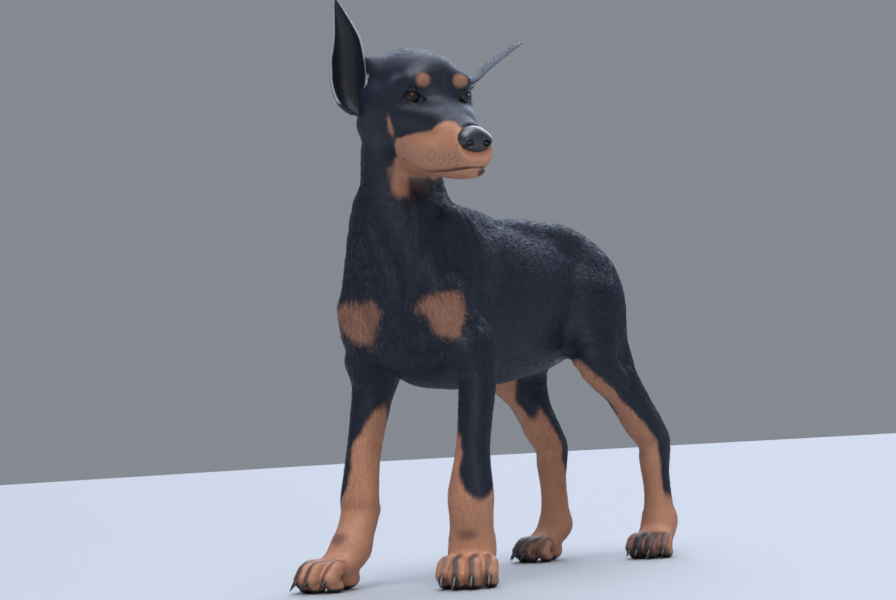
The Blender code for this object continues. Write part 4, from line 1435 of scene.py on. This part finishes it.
def shortCoat(name, bump):
    # short glossy hair over skin: dark guard hairs with a cool sheen, rust-tan markings
    material, tree, shader = newMaterial(name, **coatLook["surface"])
    paint = addNode(tree, "Attribute", attribute_name="paint")
    parts = addNode(tree, "SeparateColor", [("Color", paint, "Color")])
    place = addNode(tree, "TexCoord")
    blotch = addNode(tree, "TexNoise", [("Vector", place, "Object")], in_Scale=60.0, in_Detail=4.0)
    tone = addNode(tree, "Attribute", attribute_name="tone")
    share = addNode(tree, "Math", [(0, tone, "Fac")], operation="MULTIPLY", in_1=0.65)
    varied = addNode(
        tree, "Math", [(0, blotch, "Fac"), (2, share, "Value")], operation="MULTIPLY_ADD", in_1=0.35
    )
    black, tan = (mixed(tree, varied, "Value", *coatLook[kind]) for kind in ("black", "tan"))
    marked = mixed(tree, parts, "Red", black, tan)
    bare = mixed(tree, parts, "Green", marked, coatLook["bareSkin"])
    padded = mixed(tree, parts, "Blue", bare, coatLook["pad"])
    # the fourth share paints the highlight along the ears' edges, where the thin edges catch light
    edgeHighlighted = mixed(tree, paint, "Alpha", padded, coatLook["earEdgeHighlight"])
    tree.links.new(edgeHighlighted.outputs[2], shader.inputs["Base Color"])
    if bump:
        scale = 1000 / coatLook["hairMm"]
        hair = addNode(
            tree, "TexNoise", [("Vector", place, "Object")], in_Scale=scale, in_Detail=3.0
        )
        relief = addNode(
            tree, "Bump", [("Height", hair, "Fac")], in_Strength=0.35, in_Distance=0.0006
        )
        tree.links.new(relief.outputs["Normal"], shader.inputs["Normal"])
    return material


def noseLeather():
    # moist, pebbled bare skin
    look = {"Base_Color": "#20232c", "Roughness": 0.34, "Coat_Weight": 0.5, "Coat_Roughness": 0.22}
    material, tree, shader = newMaterial("noseLeather", **look)
    place = addNode(tree, "TexCoord")
    pebbles = addNode(tree, "TexVoronoi", [("Vector", place, "Object")], in_Scale=1100.0)
    relief = addNode(
        tree, "Bump", [("Height", pebbles, "Distance")], in_Strength=0.5, in_Distance=0.0005
    )
    tree.links.new(relief.outputs["Normal"], shader.inputs["Normal"])
    return material


# From the pupil's middle outward, as shares of a right angle
irisStops = (
    (0.0, "#020203"), (0.17, "#020203"), (0.20, "#3a2013"), (0.38, "#20110a"), (0.42, "#040303"),
    (0.60, "#1b1715")
)


def wetEye():
    # a dark brown iris under a wet cornea
    look = {"Roughness": 0.06, "IOR": 1.376, "Coat_Weight": 0.2, "Coat_Roughness": 0.02}
    material, tree, shader = newMaterial("wetEye", **look)
    polar = addNode(tree, "Attribute", attribute_name="polar")
    degrees = addNode(tree, "Math", [(0, polar, "Fac")], operation="DIVIDE", in_1=90.0)
    ramp = addNode(tree, "ValToRGB", [("Fac", degrees, "Value")])
    elements = ramp.color_ramp.elements
    for element, (position, colour) in zip(elements, (irisStops[0], irisStops[-1])):
        element.position, element.color = position, hexColour(colour)
    for position, colour in irisStops[1:-1]:
        elements.new(position).color = hexColour(colour)
    tree.links.new(ramp.outputs["Color"], shader.inputs["Base Color"])
    return material


def nailHorn():
    # smooth dark keratin
    material, tree, shader = newMaterial("nailHorn", Roughness=0.28, IOR=1.54)
    place = addNode(tree, "TexCoord")
    grain = addNode(tree, "TexNoise", [("Vector", place, "Object")], in_Scale=500.0)
    colour = mixed(tree, grain, "Fac", "#0e0e12", "#2a2826")
    tree.links.new(colour.outputs[2], shader.inputs["Base Color"])
    return material


def dress(obj, material, slot, *nodes):
    obj.data.materials.clear()
    obj.data.materials.append(material)
    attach(obj, "root")
    if nodes:
        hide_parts(*nodes)


fleshNodes = ["torso", "neck", "head", "tail"]
for side in sides:
    fleshNodes += [f"{part}_{side}" for part in ("ear", "foreleg", "hindleg", "forepaw", "hindpaw")]
dress(skin, shortCoat("shortCoatSkin", True), "black_coat", *fleshNodes)
hairLook = shortCoat("shortCoatHair", False)
for piece in coatPieces:
    dress(piece, hairLook, "black_coat")
eyeLook = wetEye()
for side in sides:
    dress(eyeballs[side], eyeLook, "eye_brown", "eye_" + side)
dress(nosePad, noseLeather(), "nose_leather", "nose")
horn = nailHorn()
for claw, node in claws:
    dress(claw, horn, "nail_horn", node)
print("materials on")


# Floor, light and camera

view = {
    "focal": 1500.0,  # in pixels of the 896-pixel-wide picture
    "wide": 896,
    "sensor": 36.0,
    "place": Vector((0.9557, -0.9732, 0.1200)),  # in the puppy's own coordinates
    "heading": 42.0,
    "up": 5.75,
    "roll": 3.35,
}
suns = {  # the way to the lamp, its width in degrees, power, colour
    "sky": ((0.20, -0.25, 1.0), 50, 2.8, "#f1f5ff"),
    "back": ((-0.35, 0.75, 0.85), 60, 2.9, "#dde8ff"),
}
softbox = {"size": 0.3, "power": 3.5, "place": Vector((1.46, -0.89, 0.68))}
sky = {"colour": "#d9e0ec", "strength": 0.34}


def makeFloor():
    bpy.ops.mesh.primitive_plane_add(size=40, location=(0, 0, 0))
    floor = bpy.context.object
    floor.name = "floor"
    floor.data.materials.append(newMaterial("paleFloor", Base_Color="#a6a9ac", Roughness=0.8)[0])


def makeLamp(name, kind, toward, power):
    data = bpy.data.lights.new(name, kind)
    data.energy = power
    lamp = added(name, data)
    lamp.rotation_euler = Vector(toward).to_track_quat("Z", "Y").to_euler()
    return lamp


def makeLights():
    for name, (toward, wide, power, colour) in suns.items():
        # wide, so that it lights the whole floor alike with soft shadows
        sun = makeLamp(name, "SUN", toward, power).data
        sun.angle = math.radians(wide)
        sun.color = hexColour(colour)[:3]
    # a square lamp beside the camera, which also gives the bright point in each eye
    toward = softbox["place"] - (Vector(metres(puppy["face"])) - origin)
    lamp = makeLamp("softbox", "AREA", toward, softbox["power"])
    lamp.location = softbox["place"]
    lamp.data.size = softbox["size"]
    world = bpy.data.worlds.new("world")
    world.use_nodes = True
    background = world.node_tree.nodes["Background"].inputs
    background["Color"].default_value = hexColour(sky["colour"])
    background["Strength"].default_value = sky["strength"]
    bpy.context.scene.world = world


def makeCamera():
    s, c = (f(math.radians(view["heading"])) for f in (math.sin, math.cos))
    up, roll = math.radians(view["up"]), math.radians(view["roll"])
    ahead = Vector((-s * math.cos(up), c * math.cos(up), math.sin(up)))
    right = Vector((c, s, 0))
    top = right.cross(ahead)
    x = math.cos(roll) * right - math.sin(roll) * top
    y = math.sin(roll) * right + math.cos(roll) * top
    data = bpy.data.cameras.new("camera")
    data.sensor_width = view["sensor"]
    data.lens = view["focal"] * view["sensor"] / view["wide"]
    data.clip_start = 0.05
    camera = added("camera", data)
    turn = Matrix((x, y, -ahead)).transposed()
    camera.matrix_world = Matrix.Translation(view["place"] - origin) @ turn.to_4x4()
    bpy.context.scene.camera = camera


makeFloor()
makeLights()
makeCamera()
bpy.context.scene.view_settings.view_transform = "Standard"

bpy.context.view_layer.update()
print("scene ready")
